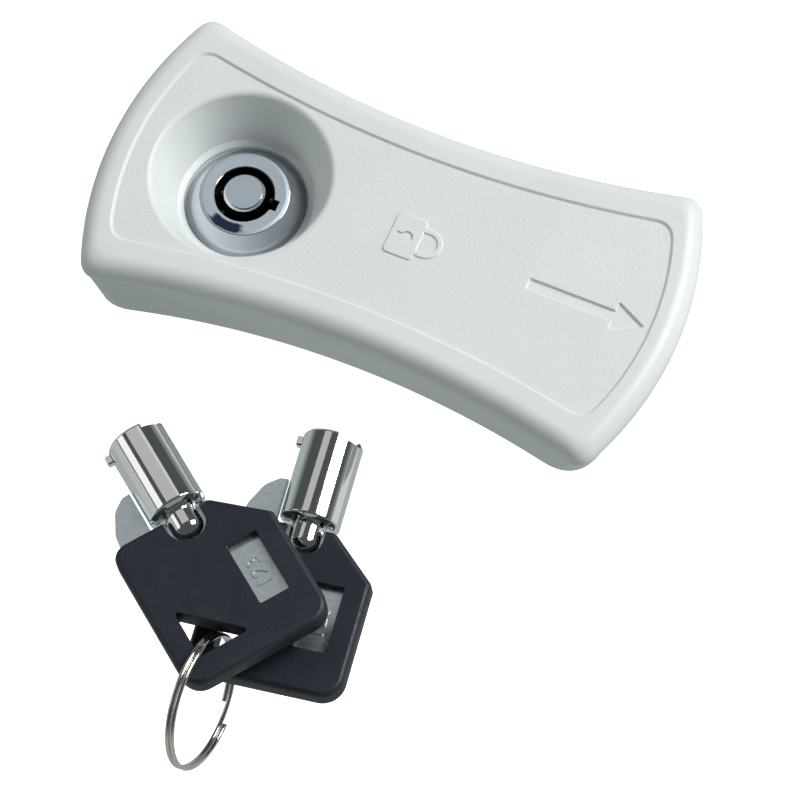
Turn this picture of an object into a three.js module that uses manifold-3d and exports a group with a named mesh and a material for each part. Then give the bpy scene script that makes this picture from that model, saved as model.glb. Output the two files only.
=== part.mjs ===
// Keyed lock for a sliding window: a moulded pull handle that sits on the pane, a seven-pin tubular
// cam lock that goes through the handle and the pane, its inside hardware, and two keys on a ring.
// Millimetres. +Z points out of the pane, z = 0 is the outer face of the pane, +X runs along the
// handle from the lock to the arrow, and the origin is under the middle of the handle.

import * as THREE from 'three';
import { mergeVertices } from 'three/addons/utils/BufferGeometryUtils.js';
import Module from 'manifold-3d';

const wasm = await Module();
wasm.setup();

// ---------------------------------------------------------------- driving dimensions

// Handle outline: the four corners, how far the long sides curve in and the ends curve out.
const HANDLE = { cornerX: 42.8, cornerY: 24.9, sideSag: 5.4, endSag: 5.8, cornerCut: 2.6 };
const PANEL = { cornerX: 40.5, cornerY: 18.2, sideSag: 4.17, endSag: 3.6, cornerCut: 2.8 };
const PANEL_EDGE_DRAFT = 0.3;
// Foot of the handle, cut back under both ends and a little wider at the lock's end.
const FOOT = { cornerX: 41.7, cornerY: 24.65, sideSag: 5.65, endSag: 3.1, cornerCut: 6.8 };
const FOOT_TAPER = 0.033;
const TOP_Z = 13;
const RIM_Z = 0.15;
const PANEL_DEPTH = 0.4;
const SHOULDER_WIDTH = 3;
const SHOULDER_DROP = 3.2;
const PARTING_DROP = 3.8;
const PARTING_STEP = 0.15;
const WALL = 2.2;
const ROOF = 2.6;
const RIB = 1.4;
const RIB_X = [-4, 8, 20];

// Pane and gasket.
const PANE = 6;
const GASKET = 0.6;
const GASKET_GAP = 0.3;

// Well round the lock: the mouth, the cone and the counterbore that the bezel seats in.
const LOCK_X = -26;
const MOUTH_R = 14.1;
const MOUTH_SOFT = 1.1;
const CONE_R = 11;
const CONE_DEPTH = 10;
const SEAT_R = 9.95;
const SEAT_Z = 1.5;
const WELL_WALL = 1.8;

// Lock housing. Its parts rest on their seats with a hair of room between them.
const SEATING = 0.02;
const BEZEL_R = 9.7;
const BEZEL_RIM = 0.2;
const FACE_R = 7.33;
const FACE_Z = TOP_Z - 7.55;
const BARREL_R = 8;
const BARREL_FLAT = 0.6;
const BARREL_END_Z = -22;
const KEYWAY_R = 4.85;
const KEYWAY_END_Z = -1;
const CHAMBER_R = 6.25;
const LUG_GROOVE = { r: 5.85, low: 1.4, high: 3.6 };
const LUG_NOTCH = 1.9;
const STOP_SECTOR = 210;
const STOP_MIDDLE = 225;
const STOP_TAB = 56;
const STOP_DROP = 1.2;

// Rotor, pins and the fixed sleeve behind them.
const PINS = 7;
const PIN_CIRCLE_R = 4.15;
const PIN_R = 0.62;
const PIN_HOLE_R = 0.75;
const POST_R = 3.4;
const POST_Z = FACE_Z + 0.8;
const POST_CHAMFER = 0.45;
const ROTOR_R = 6.15;
const ROTOR_FRONT_Z = -1.1;
const SHEAR_Z = -5.2;
const SHAFT_R = 2.6;
const SHAFT_FLAT = 2;
const SHAFT_END_Z = -31;
const SLEEVE_R = 6.2;
const SLEEVE_END_Z = -20;
const SLEEVE_PIN = { z: -10, r: 0.75, hole: 1.7, depth: 1 };
const SHEAR_GAP = 0.2;
const KEY_PIN_FRONT_Z = FACE_Z - 2.6;
const PIN_CUTS = [0.9, 1.5, 0.6, 1.2, 0.9, 1.5, 0.6];
const DRIVER = 2.8;
const SPRING = 4.9;
const SPRING_WIRE_R = 0.13;
const SPRING_TURNS = 4;

// Hardware on the inside of the pane.
const WASHER_R = 13;
const WASHER = 1.5;
const TOOTH_WASHER_R = 11;
const TOOTH_WASHER = 0.8;
const NUT_ACROSS = 21;
const NUT = 4;
const CAM_REACH = 30;
const CAM_WIDTH = 14;
const CAM = 2;
const SCREW_X = 31;
const SCREW_R = 1.9;
const INSERT_R = 2.9;
const INSERT = 8;

// Keys: a tube with a lug, a steel blade with a fin, and a plastic head round the blade.
const KEY_TUBE_R = 4.75;
const KEY_BORE_R = 3.95;
const KEY_TIP = 0.7;
const KEY_TUBE = 15.4;
const KEY_BORE = 13.2;
const KEY_NECK_R = 2.65;
const KEY_NECK_END = 20.4;
const KEY_LUG = { from: 1.2, to: 2.7, high: 0.85, wide: 1.5 };
const KEY_TIP_SLOT = { from: 15, to: 73, deep: 0.9 };
const BLADE = 1.2;
const BLADE_GAP = 0.1;
const HEAD = 4;
const HEAD_EDGE = 0.6;
const HEAD_BOW = 42.5;
const HEAD_SHOULDER = 16.1;
const HEAD_HALF = 12.3;
const NUMBER_WINDOW = { x0: 24.7, x1: 35.6, y0: 3.4, y1: 8.5 };
const RING_HOLE = { x0: 29.9, x1: 38.4, y0: -8.5, y1: 0 };
const KEY_POSES = [
  { x: -21.8, y: -48.5, z: 15.8, heading: -36.9, pitch: 3.45, roll: 1.2 },
  { x: 5.75, y: -34.65, z: 10, heading: -81.2, pitch: 1.2, roll: 3.4 },
];

// Split ring.
const RING_R = 10.4;
const RING_WIRE_R = 0.36;
const RING_PITCH = 0.78;
const RING_START = 22;
const RING_TURNS = 1.95;
const RING_POSE = { x: 5.1, y: -82.2, z: 11.6, heading: 1, tilt: -79.8 };

// ---------------------------------------------------------------- helpers

const rad = THREE.MathUtils.degToRad;

// A closed triangle mesh as a manifold solid, its faces pointing out.
function solid(geometry) {
  const bare = new THREE.BufferGeometry();
  bare.setAttribute('position', geometry.getAttribute('position'));
  bare.setIndex(geometry.getIndex());
  const merged = mergeVertices(bare, 1e-4);
  const corners = merged.getAttribute('position').array;
  const faces = [];
  let volume = 0;
  const [a, b, c] = [new THREE.Vector3(), new THREE.Vector3(), new THREE.Vector3()];
  const index = merged.getIndex().array;
  for (let i = 0; i < index.length; i += 3) {
    const [p, q, r] = [index[i], index[i + 1], index[i + 2]];
    if (p === q || q === r || r === p) continue;
    faces.push([p, q, r]);
    volume += a.fromArray(corners, 3 * p).dot(b.fromArray(corners, 3 * q).cross(c.fromArray(corners, 3 * r)));
  }
  if (volume < 0) faces.forEach((face) => face.reverse());
  const mesh = new wasm.Mesh({
    numProp: 3,
    vertProperties: new Float32Array(corners),
    triVerts: new Uint32Array(faces.flat()),
  });
  return new wasm.Manifold(mesh);
}

function geometryOf(body) {
  const mesh = body.getMesh();
  const geometry = new THREE.BufferGeometry();
  geometry.setAttribute('position', new THREE.BufferAttribute(new Float32Array(mesh.vertProperties), 3));
  geometry.setIndex(new THREE.BufferAttribute(new Uint32Array(mesh.triVerts), 1));
  geometry.computeVertexNormals();
  return geometry;
}

function cut(body, tools) {
  return tools.reduce((left, tool) => left.subtract(tool), body);
}

function join(bodies) {
  return bodies.reduce((sum, body) => sum.add(body));
}

// A body of revolution about Z from [radius, z] pairs.
function turned(profile, x = 0, y = 0, segments = 32) {
  const points = profile.map(([r, z]) => new THREE.Vector2(r, z));
  const geometry = new THREE.LatheGeometry(points, segments);
  geometry.rotateX(Math.PI / 2);
  geometry.translate(x, y, 0);
  return solid(geometry);
}

function rod(r, z0, z1, x = 0, y = 0, segments = 32) {
  return turned([[0, z0], [r, z0], [r, z1], [0, z1]], x, y, segments);
}

function ringBody(rIn, rOut, z0, z1, x = 0, y = 0, segments = 32) {
  return turned([[rIn, z0], [rOut, z0], [rOut, z1], [rIn, z1], [rIn, z0]], x, y, segments);
}

function block(x0, x1, y0, y1, z0, z1) {
  const geometry = new THREE.BoxGeometry(x1 - x0, y1 - y0, z1 - z0);
  geometry.translate((x0 + x1) / 2, (y0 + y1) / 2, (z0 + z1) / 2);
  return solid(geometry);
}

// A plate from an outline of [x, y] pairs, between two heights.
function plate(outline, z0, z1) {
  const shape = new THREE.Shape(outline.map(([x, y]) => new THREE.Vector2(x, y)));
  const geometry = new THREE.ExtrudeGeometry(shape, { depth: z1 - z0, bevelEnabled: false });
  geometry.translate(0, 0, z0);
  return solid(geometry);
}

function hexagon(across) {
  const r = across / 2 / Math.cos(Math.PI / 6);
  return Array.from({ length: 6 }, (_, k) => [r * Math.cos(k * Math.PI / 3), r * Math.sin(k * Math.PI / 3)]);
}

// A wedge-shaped prism about Z, from angle to angle in degrees.
function sector(r, from, to, z0, z1) {
  const steps = 12;
  const arc = Array.from({ length: steps + 1 }, (_, k) => {
    const angle = rad(from + (to - from) * k / steps);
    return [r * Math.cos(angle), r * Math.sin(angle)];
  });
  return plate([[0, 0], ...arc], z0, z1);
}

function named(name, body, look) {
  const mesh = new THREE.Mesh(geometryOf(body), new THREE.MeshStandardMaterial(look));
  mesh.name = name;
  return mesh;
}

// ---------------------------------------------------------------- looks

const WHITE_PLASTIC = { color: 0xdfe1e0, roughness: 0.45, metalness: 0 };
const BLACK_RUBBER = { color: 0x1b1b1c, roughness: 0.8, metalness: 0 };
const BLACK_PLASTIC = { color: 0x24262a, roughness: 0.6, metalness: 0 };
const CHROME = { color: 0xd4d5d8, roughness: 0.15, metalness: 1 };
const STEEL = { color: 0xa9abae, roughness: 0.35, metalness: 1 };
const BRASS = { color: 0xc9a253, roughness: 0.3, metalness: 1 };

// ---------------------------------------------------------------- handle

// One edge of the outline as an arc from p to q that bulges to its left by sag.
function arcPoints(p, q, sag, from, to, steps) {
  const chord = Math.hypot(q[0] - p[0], q[1] - p[1]);
  const radius = (chord * chord / 4 + sag * sag) / (2 * sag);
  const half = Math.asin(chord / 2 / radius);
  const [ux, uy] = [(q[0] - p[0]) / chord, (q[1] - p[1]) / chord];
  return Array.from({ length: steps + 1 }, (_, k) => {
    const angle = half * (2 * (from + (to - from) * k / steps) - 1);
    const along = chord / 2 + radius * Math.sin(angle);
    const out = radius * Math.cos(angle) - radius + sag;
    return [p[0] + ux * along - uy * out, p[1] + uy * along + ux * out];
  });
}

// The bow-tie outline, anticlockwise: two hollow long sides, two full ends and four soft corners.
function bowtie({ cornerX, cornerY, sideSag, endSag, cornerCut }) {
  const corners = [[cornerX, cornerY], [-cornerX, cornerY], [-cornerX, -cornerY], [cornerX, -cornerY]];
  const sags = [sideSag, -endSag, sideSag, -endSag];
  const steps = [12, 8, 12, 8];
  const points = [];
  corners.forEach((corner, k) => {
    const next = corners[(k + 1) % 4];
    const share = cornerCut / Math.hypot(next[0] - corner[0], next[1] - corner[1]);
    const edge = arcPoints(corner, next, sags[k], share, 1 - share, steps[k]);
    const before = points.length ? points[points.length - 1] : null;
    if (before) points.push(...softCorner(before, corner, edge[0]));
    points.push(...edge);
  });
  points.push(...softCorner(points[points.length - 1], corners[0], points[0]));
  return points;
}

function softCorner(p, corner, q) {
  return [0.33, 0.67].map((t) => [0, 1].map(
    (i) => (1 - t) * (1 - t) * p[i] + 2 * t * (1 - t) * corner[i] + t * t * q[i]));
}

// A bow-tie outline moved inwards by a constant distance.
function inset(distance, outline = HANDLE) {
  const slopeX = 0.52;
  const slopeY = 1.165;
  return bowtie({
    cornerX: outline.cornerX - slopeX * distance,
    cornerY: outline.cornerY - slopeY * distance,
    sideSag: outline.sideSag - (slopeY - 1) * distance,
    endSag: outline.endSag - (1 - slopeX) * distance,
    cornerCut: outline.cornerCut,
  });
}

function foot(distance) {
  return inset(distance, FOOT).map(([x, y]) => [x, y * (1 - FOOT_TAPER * x / FOOT.cornerX)]);
}

// A skin through outlines with the same number of points, closed by flat caps.
function loft(layers) {
  const count = layers[0].outline.length;
  const positions = layers.flatMap(({ outline, z }) => outline.flatMap(([x, y]) => [x, y, z]));
  const index = [];
  for (let layer = 0; layer + 1 < layers.length; layer += 1) {
    for (let k = 0; k < count; k += 1) {
      const [a, b] = [layer * count + k, layer * count + (k + 1) % count];
      index.push(a, b, b + count, a, b + count, a + count);
    }
  }
  const cap = (layer, flip) => {
    const contour = layers[layer].outline.map(([x, y]) => new THREE.Vector2(x, y));
    THREE.ShapeUtils.triangulateShape(contour, []).forEach((face) => {
      const [p, q, r] = face.map((corner) => corner + layer * count);
      index.push(...(flip ? [r, q, p] : [p, q, r]));
    });
  };
  cap(0, true);
  cap(layers.length - 1, false);
  const geometry = new THREE.BufferGeometry();
  geometry.setAttribute('position', new THREE.Float32BufferAttribute(positions, 3));
  geometry.setIndex(index);
  return solid(geometry);
}

// Outside of the handle: wall, parting step, round shoulder, smooth rim, sunk panel.
function handleBlank() {
  const layers = [
    { outline: foot(0), z: RIM_Z },
    { outline: inset(2 * PARTING_STEP), z: TOP_Z - PARTING_DROP - PARTING_STEP },
    { outline: inset(PARTING_STEP), z: TOP_Z - PARTING_DROP },
  ];
  [90, 60, 30, 0].forEach((degrees) => {
    const angle = rad(degrees);
    const distance = SHOULDER_WIDTH * (1 - Math.sin(angle));
    layers.push({ outline: inset(distance), z: TOP_Z - SHOULDER_DROP * (1 - Math.cos(angle)) });
  });
  layers.push({ outline: bowtie(PANEL), z: TOP_Z });
  const sunk = { ...PANEL, cornerY: PANEL.cornerY - PANEL_EDGE_DRAFT };
  layers.push({ outline: bowtie(sunk), z: TOP_Z - PANEL_DEPTH });
  return loft(layers);
}

function handleHollow() {
  return loft([
    { outline: foot(WALL), z: RIM_Z - 1 },
    { outline: inset(WALL + PARTING_STEP), z: TOP_Z - PARTING_DROP },
    { outline: inset(WALL + SHOULDER_WIDTH / 2), z: TOP_Z - ROOF },
  ]);
}

function wellCutter() {
  const [softEdge, ledge] = [0.3 * MOUTH_SOFT, 0.3];
  return turned([
    [0, TOP_Z + 1],
    [MOUTH_R + MOUTH_SOFT, TOP_Z + 1],
    [MOUTH_R + MOUTH_SOFT, TOP_Z - PANEL_DEPTH],
    [MOUTH_R + softEdge, TOP_Z - PANEL_DEPTH - softEdge],
    [MOUTH_R, TOP_Z - PANEL_DEPTH - MOUTH_SOFT],
    [CONE_R, TOP_Z - CONE_DEPTH],
    [SEAT_R + ledge, TOP_Z - CONE_DEPTH - ledge],
    [SEAT_R, SEAT_Z],
    [0, SEAT_Z],
  ], LOCK_X, 0, 40);
}

function ribs(hollow) {
  const deep = HANDLE.cornerY;
  const cross = RIB_X.map((x) => block(x - RIB / 2, x + RIB / 2, -deep, deep, GASKET, TOP_Z));
  const spine = block(LOCK_X, HANDLE.cornerX, -RIB / 2, RIB / 2, GASKET, TOP_Z);
  return join([...cross, spine]).intersect(hollow);
}

// The arrow at the far end of the panel, cut into it.
function arrowCutter() {
  const [tail, neck, tip] = [23.5, 38, 43];
  const [half, wing] = [0.9, 2.45];
  const head = [[neck, -wing], [tip, 0], [neck, wing]];
  const outline = [[tail, -half], [neck, -half], ...head, [neck, half], [tail, half]];
  return plate(outline, TOP_Z - PANEL_DEPTH - 0.5, TOP_Z + 1);
}

// A small raised padlock sign between the lock and the arrow.
function padlockSign() {
  const [x, raised] = [4, 0.3];
  const [z0, z1] = [TOP_Z - PANEL_DEPTH - 0.5, TOP_Z - PANEL_DEPTH + raised];
  const body = block(x - 4, x + 1, -3.6, 3.6, z0, z1);
  const bow = ringBody(1.6, 2.6, z0, z1, x + 2.2, 0, 32).intersect(block(x + 2.2, x + 6, -4, 4, z0, z1));
  const legs = [-1, 1].map((side) => block(x + 0.9, x + 2.3, side * 2.1 - 0.5, side * 2.1 + 0.5, z0, z1));
  const keyhole = rod(0.9, z0 - 1, z1 + 1, x - 1.5, 0, 16);
  return cut(join([body, bow, ...legs]), [keyhole]);
}

function handleShell() {
  const hollow = handleHollow();
  const wellBoss = turned([
    [0, GASKET],
    [CONE_R + WELL_WALL, GASKET],
    [MOUTH_R + WELL_WALL, TOP_Z - ROOF],
    [MOUTH_R + WELL_WALL, TOP_Z - PANEL_DEPTH - 0.5],
    [0, TOP_Z - PANEL_DEPTH - 0.5],
  ], LOCK_X, 0);
  const screwBoss = rod(INSERT_R + 2, GASKET, TOP_Z - ROOF + 0.5, SCREW_X, 0);
  const walls = join([handleBlank().subtract(hollow), wellBoss, screwBoss, ribs(hollow), padlockSign()]);
  return cut(walls, [
    wellCutter(),
    arrowCutter(),
    rod(BARREL_R + 0.3, -1, SEAT_Z + 1, LOCK_X, 0),
    rod(INSERT_R + 0.1, -1, GASKET + 0.5 + INSERT + 0.5, SCREW_X, 0),
  ]);
}

function paneGasket() {
  const sheet = plate(foot(WALL + GASKET_GAP), 0, GASKET - SEATING);
  return cut(sheet, [
    rod(BARREL_R + 0.5, -1, 2, LOCK_X, 0),
    rod(SCREW_R + 0.6, -1, 2, SCREW_X, 0),
  ]);
}

// ---------------------------------------------------------------- lock, drawn about its own axis

function lockHousing() {
  const groove = LUG_GROOVE;
  const body = turned([
    [KEYWAY_R, FACE_Z],
    [FACE_R - BEZEL_RIM, FACE_Z],
    [FACE_R, FACE_Z - BEZEL_RIM],
    [BEZEL_R - BEZEL_RIM, SEAT_Z + 2.5 * BEZEL_RIM],
    [BEZEL_R, SEAT_Z + BEZEL_RIM],
    [BEZEL_R, SEAT_Z + SEATING],
    [BARREL_R, SEAT_Z + SEATING],
    [BARREL_R, BARREL_END_Z],
    [CHAMBER_R, BARREL_END_Z],
    [CHAMBER_R, KEYWAY_END_Z],
    [KEYWAY_R, KEYWAY_END_Z],
    [KEYWAY_R, groove.low],
    [groove.r, groove.low],
    [groove.r, groove.high],
    [KEYWAY_R, groove.high],
    [KEYWAY_R, FACE_Z],
  ]);
  const notch = block(KEYWAY_R - 1, groove.r, -LUG_NOTCH / 2, LUG_NOTCH / 2, groove.low, FACE_Z + 1);
  const flats = [-1, 1].map((side) => {
    const face = side * (BARREL_R - BARREL_FLAT);
    const [x0, x1] = [Math.min(face, 2 * face), Math.max(face, 2 * face)];
    return block(x0, x1, -BARREL_R, BARREL_R, 2 * BARREL_END_Z, SEAT_Z);
  });
  return cut(join([body, stopSector()]), [notch, ...flats, sleevePinHole()]);
}

// What is left of the barrel's end between the two stops of the quarter turn, in three thirds.
function stopSector() {
  const third = STOP_SECTOR / 3;
  const thirds = [-1, 0, 1].map((k) => sector(
    3 * BARREL_R,
    STOP_MIDDLE + (k - 0.5) * third,
    STOP_MIDDLE + (k + 0.5) * third + (k < 1 ? 1 : 0),
    BARREL_END_Z - 2 * STOP_DROP,
    BARREL_END_Z + 1,
  ));
  const end = ringBody(CHAMBER_R + 0.15, BARREL_R, BARREL_END_Z - STOP_DROP, BARREL_END_Z + 0.5);
  return end.intersect(join(thirds));
}

// Square room for the round pin that keeps the sleeve from turning.
function sleevePinHole() {
  const half = SLEEVE_PIN.hole / 2;
  const inner = SLEEVE_R - SLEEVE_PIN.depth - SHEAR_GAP;
  return block(-half, half, inner, BARREL_R + 1, SLEEVE_PIN.z - half, SLEEVE_PIN.z + half);
}

function pinSpot(k) {
  const angle = 2 * Math.PI * (k + 0.5) / PINS;
  return [PIN_CIRCLE_R * Math.cos(angle), PIN_CIRCLE_R * Math.sin(angle)];
}

function pinHoles(z0, z1) {
  return Array.from({ length: PINS }, (_, k) => rod(PIN_HOLE_R, z0, z1, ...pinSpot(k), 12));
}

function pinSleeve() {
  const tube = ringBody(SHAFT_R + 0.15, SLEEVE_R, SLEEVE_END_Z, SHEAR_Z - SHEAR_GAP / 2);
  const holeEnd = SHEAR_Z - SHEAR_GAP - DRIVER - SPRING - 0.3;
  return cut(tube, [...pinHoles(holeEnd, SHEAR_Z + 1), sleevePinHole()]);
}

function sleevePin() {
  const [inner, outer] = [SLEEVE_R - SLEEVE_PIN.depth, BARREL_R - 0.1];
  const geometry = new THREE.CylinderGeometry(SLEEVE_PIN.r, SLEEVE_PIN.r, outer - inner, 16);
  geometry.translate(0, (inner + outer) / 2, SLEEVE_PIN.z);
  return solid(geometry);
}

function driverPin(k) {
  const top = SHEAR_Z - SHEAR_GAP;
  return turned([
    [0, top - DRIVER],
    [PIN_R, top - DRIVER],
    [PIN_R, top - 0.2],
    [PIN_R - 0.2, top],
    [0, top],
  ], ...pinSpot(k), 12);
}

class Helix extends THREE.Curve {
  constructor(radius, length, turns, x, y, z, start = 0) {
    super();
    Object.assign(this, { radius, length, turns, x, y, z, start });
  }

  getPoint(t, target = new THREE.Vector3()) {
    const angle = this.start + 2 * Math.PI * this.turns * t;
    return target.set(
      this.x + this.radius * Math.cos(angle),
      this.y + this.radius * Math.sin(angle),
      this.z + this.length * t,
    );
  }
}

// Round wire along a curve.
function wire(path, r, sides, steps) {
  const section = Array.from({ length: sides }, (_, k) => {
    const angle = 2 * Math.PI * k / sides;
    return new THREE.Vector2(r * Math.cos(angle), r * Math.sin(angle));
  });
  return solid(new THREE.ExtrudeGeometry(new THREE.Shape(section), { extrudePath: path, steps }));
}

function pinSpring(k) {
  const [x, y] = pinSpot(k);
  const path = new Helix(PIN_R - SPRING_WIRE_R, SPRING - 0.45, SPRING_TURNS, x, y, SHEAR_Z - DRIVER - SPRING);
  return wire(path, SPRING_WIRE_R, 4, SPRING_TURNS * 6);
}

function rotor() {
  const body = turned([
    [0, POST_Z],
    [POST_R - POST_CHAMFER, POST_Z],
    [POST_R, POST_Z - POST_CHAMFER],
    [POST_R, ROTOR_FRONT_Z],
    [ROTOR_R, ROTOR_FRONT_Z],
    [ROTOR_R, SHEAR_Z + SHEAR_GAP / 2],
    [SHAFT_R, SHEAR_Z + SHEAR_GAP / 2],
    [SHAFT_R, SHAFT_END_Z + 0.4],
    [SHAFT_R - 0.4, SHAFT_END_Z],
    [0, SHAFT_END_Z],
  ]);
  const flats = [-1, 1].map((side) => {
    const face = side * SHAFT_FLAT;
    return block(-4, 4, Math.min(face, 2 * face), Math.max(face, 2 * face), SHAFT_END_Z - 1, BARREL_END_Z);
  });
  return cut(body, [...pinHoles(SHEAR_Z - 1, ROTOR_FRONT_Z + 1), ...flats]);
}

// The pin's back end stands off the shear line by the depth of its cut in the key.
function keyPin(k) {
  const back = SHEAR_Z + SHEAR_GAP + PIN_CUTS[k];
  return turned([
    [0, back],
    [PIN_R, back],
    [PIN_R, KEY_PIN_FRONT_Z - 0.3],
    [PIN_R - 0.35, KEY_PIN_FRONT_Z],
    [0, KEY_PIN_FRONT_Z],
  ], ...pinSpot(k), 12);
}

// Hole with two flats, as cut in everything that sits on the rotor's shaft.
function shaftHole(z0, z1) {
  const gap = 0.12;
  const flats = block(-4, 4, -SHAFT_FLAT - gap, SHAFT_FLAT + gap, z0, z1);
  return rod(SHAFT_R + gap, z0, z1, 0, 0, 32).intersect(flats);
}

function stopWasher() {
  const [top, bottom] = [BARREL_END_Z - 0.3, BARREL_END_Z - 1.3];
  const tab = sector(2 * BARREL_R, -STOP_TAB / 2, STOP_TAB / 2, bottom, top)
    .intersect(rod(BARREL_R - 0.1, bottom, top));
  const disc = rod(CHAMBER_R - 0.25, bottom, top);
  return cut(join([disc, tab]), [shaftHole(bottom - 1, top + 1)]);
}

function cam() {
  const [top, bottom] = [BARREL_END_Z - 1.4, BARREL_END_Z - 1.4 - CAM];
  const half = CAM_WIDTH / 2;
  const hub = rod(half, bottom, top, 0, 0);
  const tip = rod(half - 1.5, bottom, top, CAM_REACH - half + 1.5, 0);
  const end = CAM_REACH - half + 1.5;
  const arm = plate([[0, -half], [end, 1.5 - half], [end, half - 1.5], [0, half]],
    bottom, top);
  return cut(join([hub, arm, tip]), [shaftHole(bottom - 1, top + 1)]);
}

function camSpringWasher() {
  const top = BARREL_END_Z - 1.5 - CAM;
  const split = block(0, 9, -0.4, 0.4, top - 2, top + 1);
  return ringBody(SHAFT_R + 0.2, 4.6, top - 0.9, top).subtract(split);
}

function camNut() {
  const top = BARREL_END_Z - 2.5 - CAM;
  return plate(hexagon(9), top - 3.5, top).subtract(rod(SHAFT_R + 0.1, top - 5, top + 1));
}

// ---------------------------------------------------------------- inside of the pane

function clampWasher() {
  return ringBody(BARREL_R + 0.3, WASHER_R, -PANE - WASHER, -PANE, LOCK_X, 0);
}

function toothWasher() {
  const top = -PANE - WASHER - 0.02;
  const disc = ringBody(BARREL_R + 0.2, TOOTH_WASHER_R - 1, top - TOOTH_WASHER, top);
  const teeth = Array.from({ length: 10 }, (_, k) => block(
    TOOTH_WASHER_R - 1.6, TOOTH_WASHER_R, -0.9, 0.9, top - TOOTH_WASHER, top).rotate([0, 0, 36 * k]));
  return join([disc, ...teeth]).translate([LOCK_X, 0, 0]);
}

function lockNut() {
  const top = -PANE - WASHER - TOOTH_WASHER - 0.04;
  const blank = plate(hexagon(NUT_ACROSS), top - NUT, top);
  const chamfered = blank.intersect(turned([
    [0, top - NUT],
    [NUT_ACROSS / 2 + 0.2, top - NUT],
    [NUT_ACROSS / 2 + 1.8, top - NUT + 1],
    [NUT_ACROSS / 2 + 1.8, top],
    [0, top],
  ]));
  return chamfered.subtract(rod(BARREL_R + 0.1, top - NUT - 1, top + 1)).translate([LOCK_X, 0, 0]);
}

function threadedInsert() {
  return ringBody(SCREW_R + 0.1, INSERT_R, GASKET + 0.5, GASKET + 0.5 + INSERT, SCREW_X, 0, 32);
}

function screwWasher() {
  return ringBody(SCREW_R + 0.3, 7, -PANE - 1.2, -PANE, SCREW_X, 0, 40);
}

function fixingScrew() {
  const seat = -PANE - 1.22;
  const body = turned([
    [0, GASKET + INSERT],
    [SCREW_R - 0.3, GASKET + INSERT],
    [SCREW_R, GASKET + INSERT - 0.3],
    [SCREW_R, seat],
    [4, seat],
    [4, seat - 1.6],
    [2.9, seat - 2.8],
    [0, seat - 3],
  ], SCREW_X, 0, 32);
  const arms = [[2.4, 0.4], [0.4, 2.4]].map(([dx, dy]) => block(
    SCREW_X - dx, SCREW_X + dx, -dy, dy, seat - 4, seat - 1.5));
  return cut(body, arms);
}

// ---------------------------------------------------------------- keys, drawn with the tube along +X

// Turns a body drawn about Z so that its +Z runs along +X.
function alongX(body) {
  return body.rotate([0, 90, 0]);
}

function keyBarrel() {
  const dome = [90, 60, 30, 0].map((degrees) => {
    const angle = rad(degrees);
    return [KEY_NECK_R * Math.sin(angle), KEY_NECK_END - 2 * (1 - Math.cos(angle))];
  });
  const tube = turned([
    [0, KEY_BORE],
    [KEY_BORE_R, KEY_BORE],
    [KEY_BORE_R, KEY_TIP],
    [KEY_TUBE_R - 0.25, KEY_TIP],
    [KEY_TUBE_R, KEY_TIP + 0.3],
    [KEY_TUBE_R, KEY_TUBE - 0.3],
    [KEY_TUBE_R - 0.3, KEY_TUBE],
    [KEY_NECK_R, KEY_TUBE],
    ...dome,
  ]);
  const fork = block(
    KEY_TUBE + 0.4, HEAD_BOW, -KEY_TUBE_R, KEY_TUBE_R, -(BLADE + BLADE_GAP) / 2, (BLADE + BLADE_GAP) / 2);
  const lug = block(
    KEY_LUG.from, KEY_LUG.to, -KEY_TUBE_R - KEY_LUG.high, -KEY_BORE_R - 0.2, -KEY_LUG.wide / 2, KEY_LUG.wide / 2);
  const mouth = { low: KEY_TIP - 1, high: KEY_TIP + KEY_TIP_SLOT.deep };
  const slot = sector(2 * KEY_TUBE_R, KEY_TIP_SLOT.from, KEY_TIP_SLOT.to, mouth.low, mouth.high)
    .rotate([0, 0, 90]);
  return cut(alongX(cut(tube, [slot])).add(lug), [fork]);
}

// Outline of the pressed sheet: the fin beside the tube, the tang and the number plate.
function bladeOutline() {
  return [
    [KEY_TUBE + 0.5, 4.4], [KEY_TUBE + 0.5, -5.1], [8.6, -5.1], [8.7, -6.4], [10.2, -8.4], [13.8, -10.2],
    [17.5, -10.6], [28, -10.2], [28, 0], [37, 2.2], [37, 9.6], [24, 9.6], [18.6, 4.4],
  ];
}

function keyBlade() {
  return plate(bladeOutline(), -BLADE / 2, BLADE / 2);
}

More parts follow.
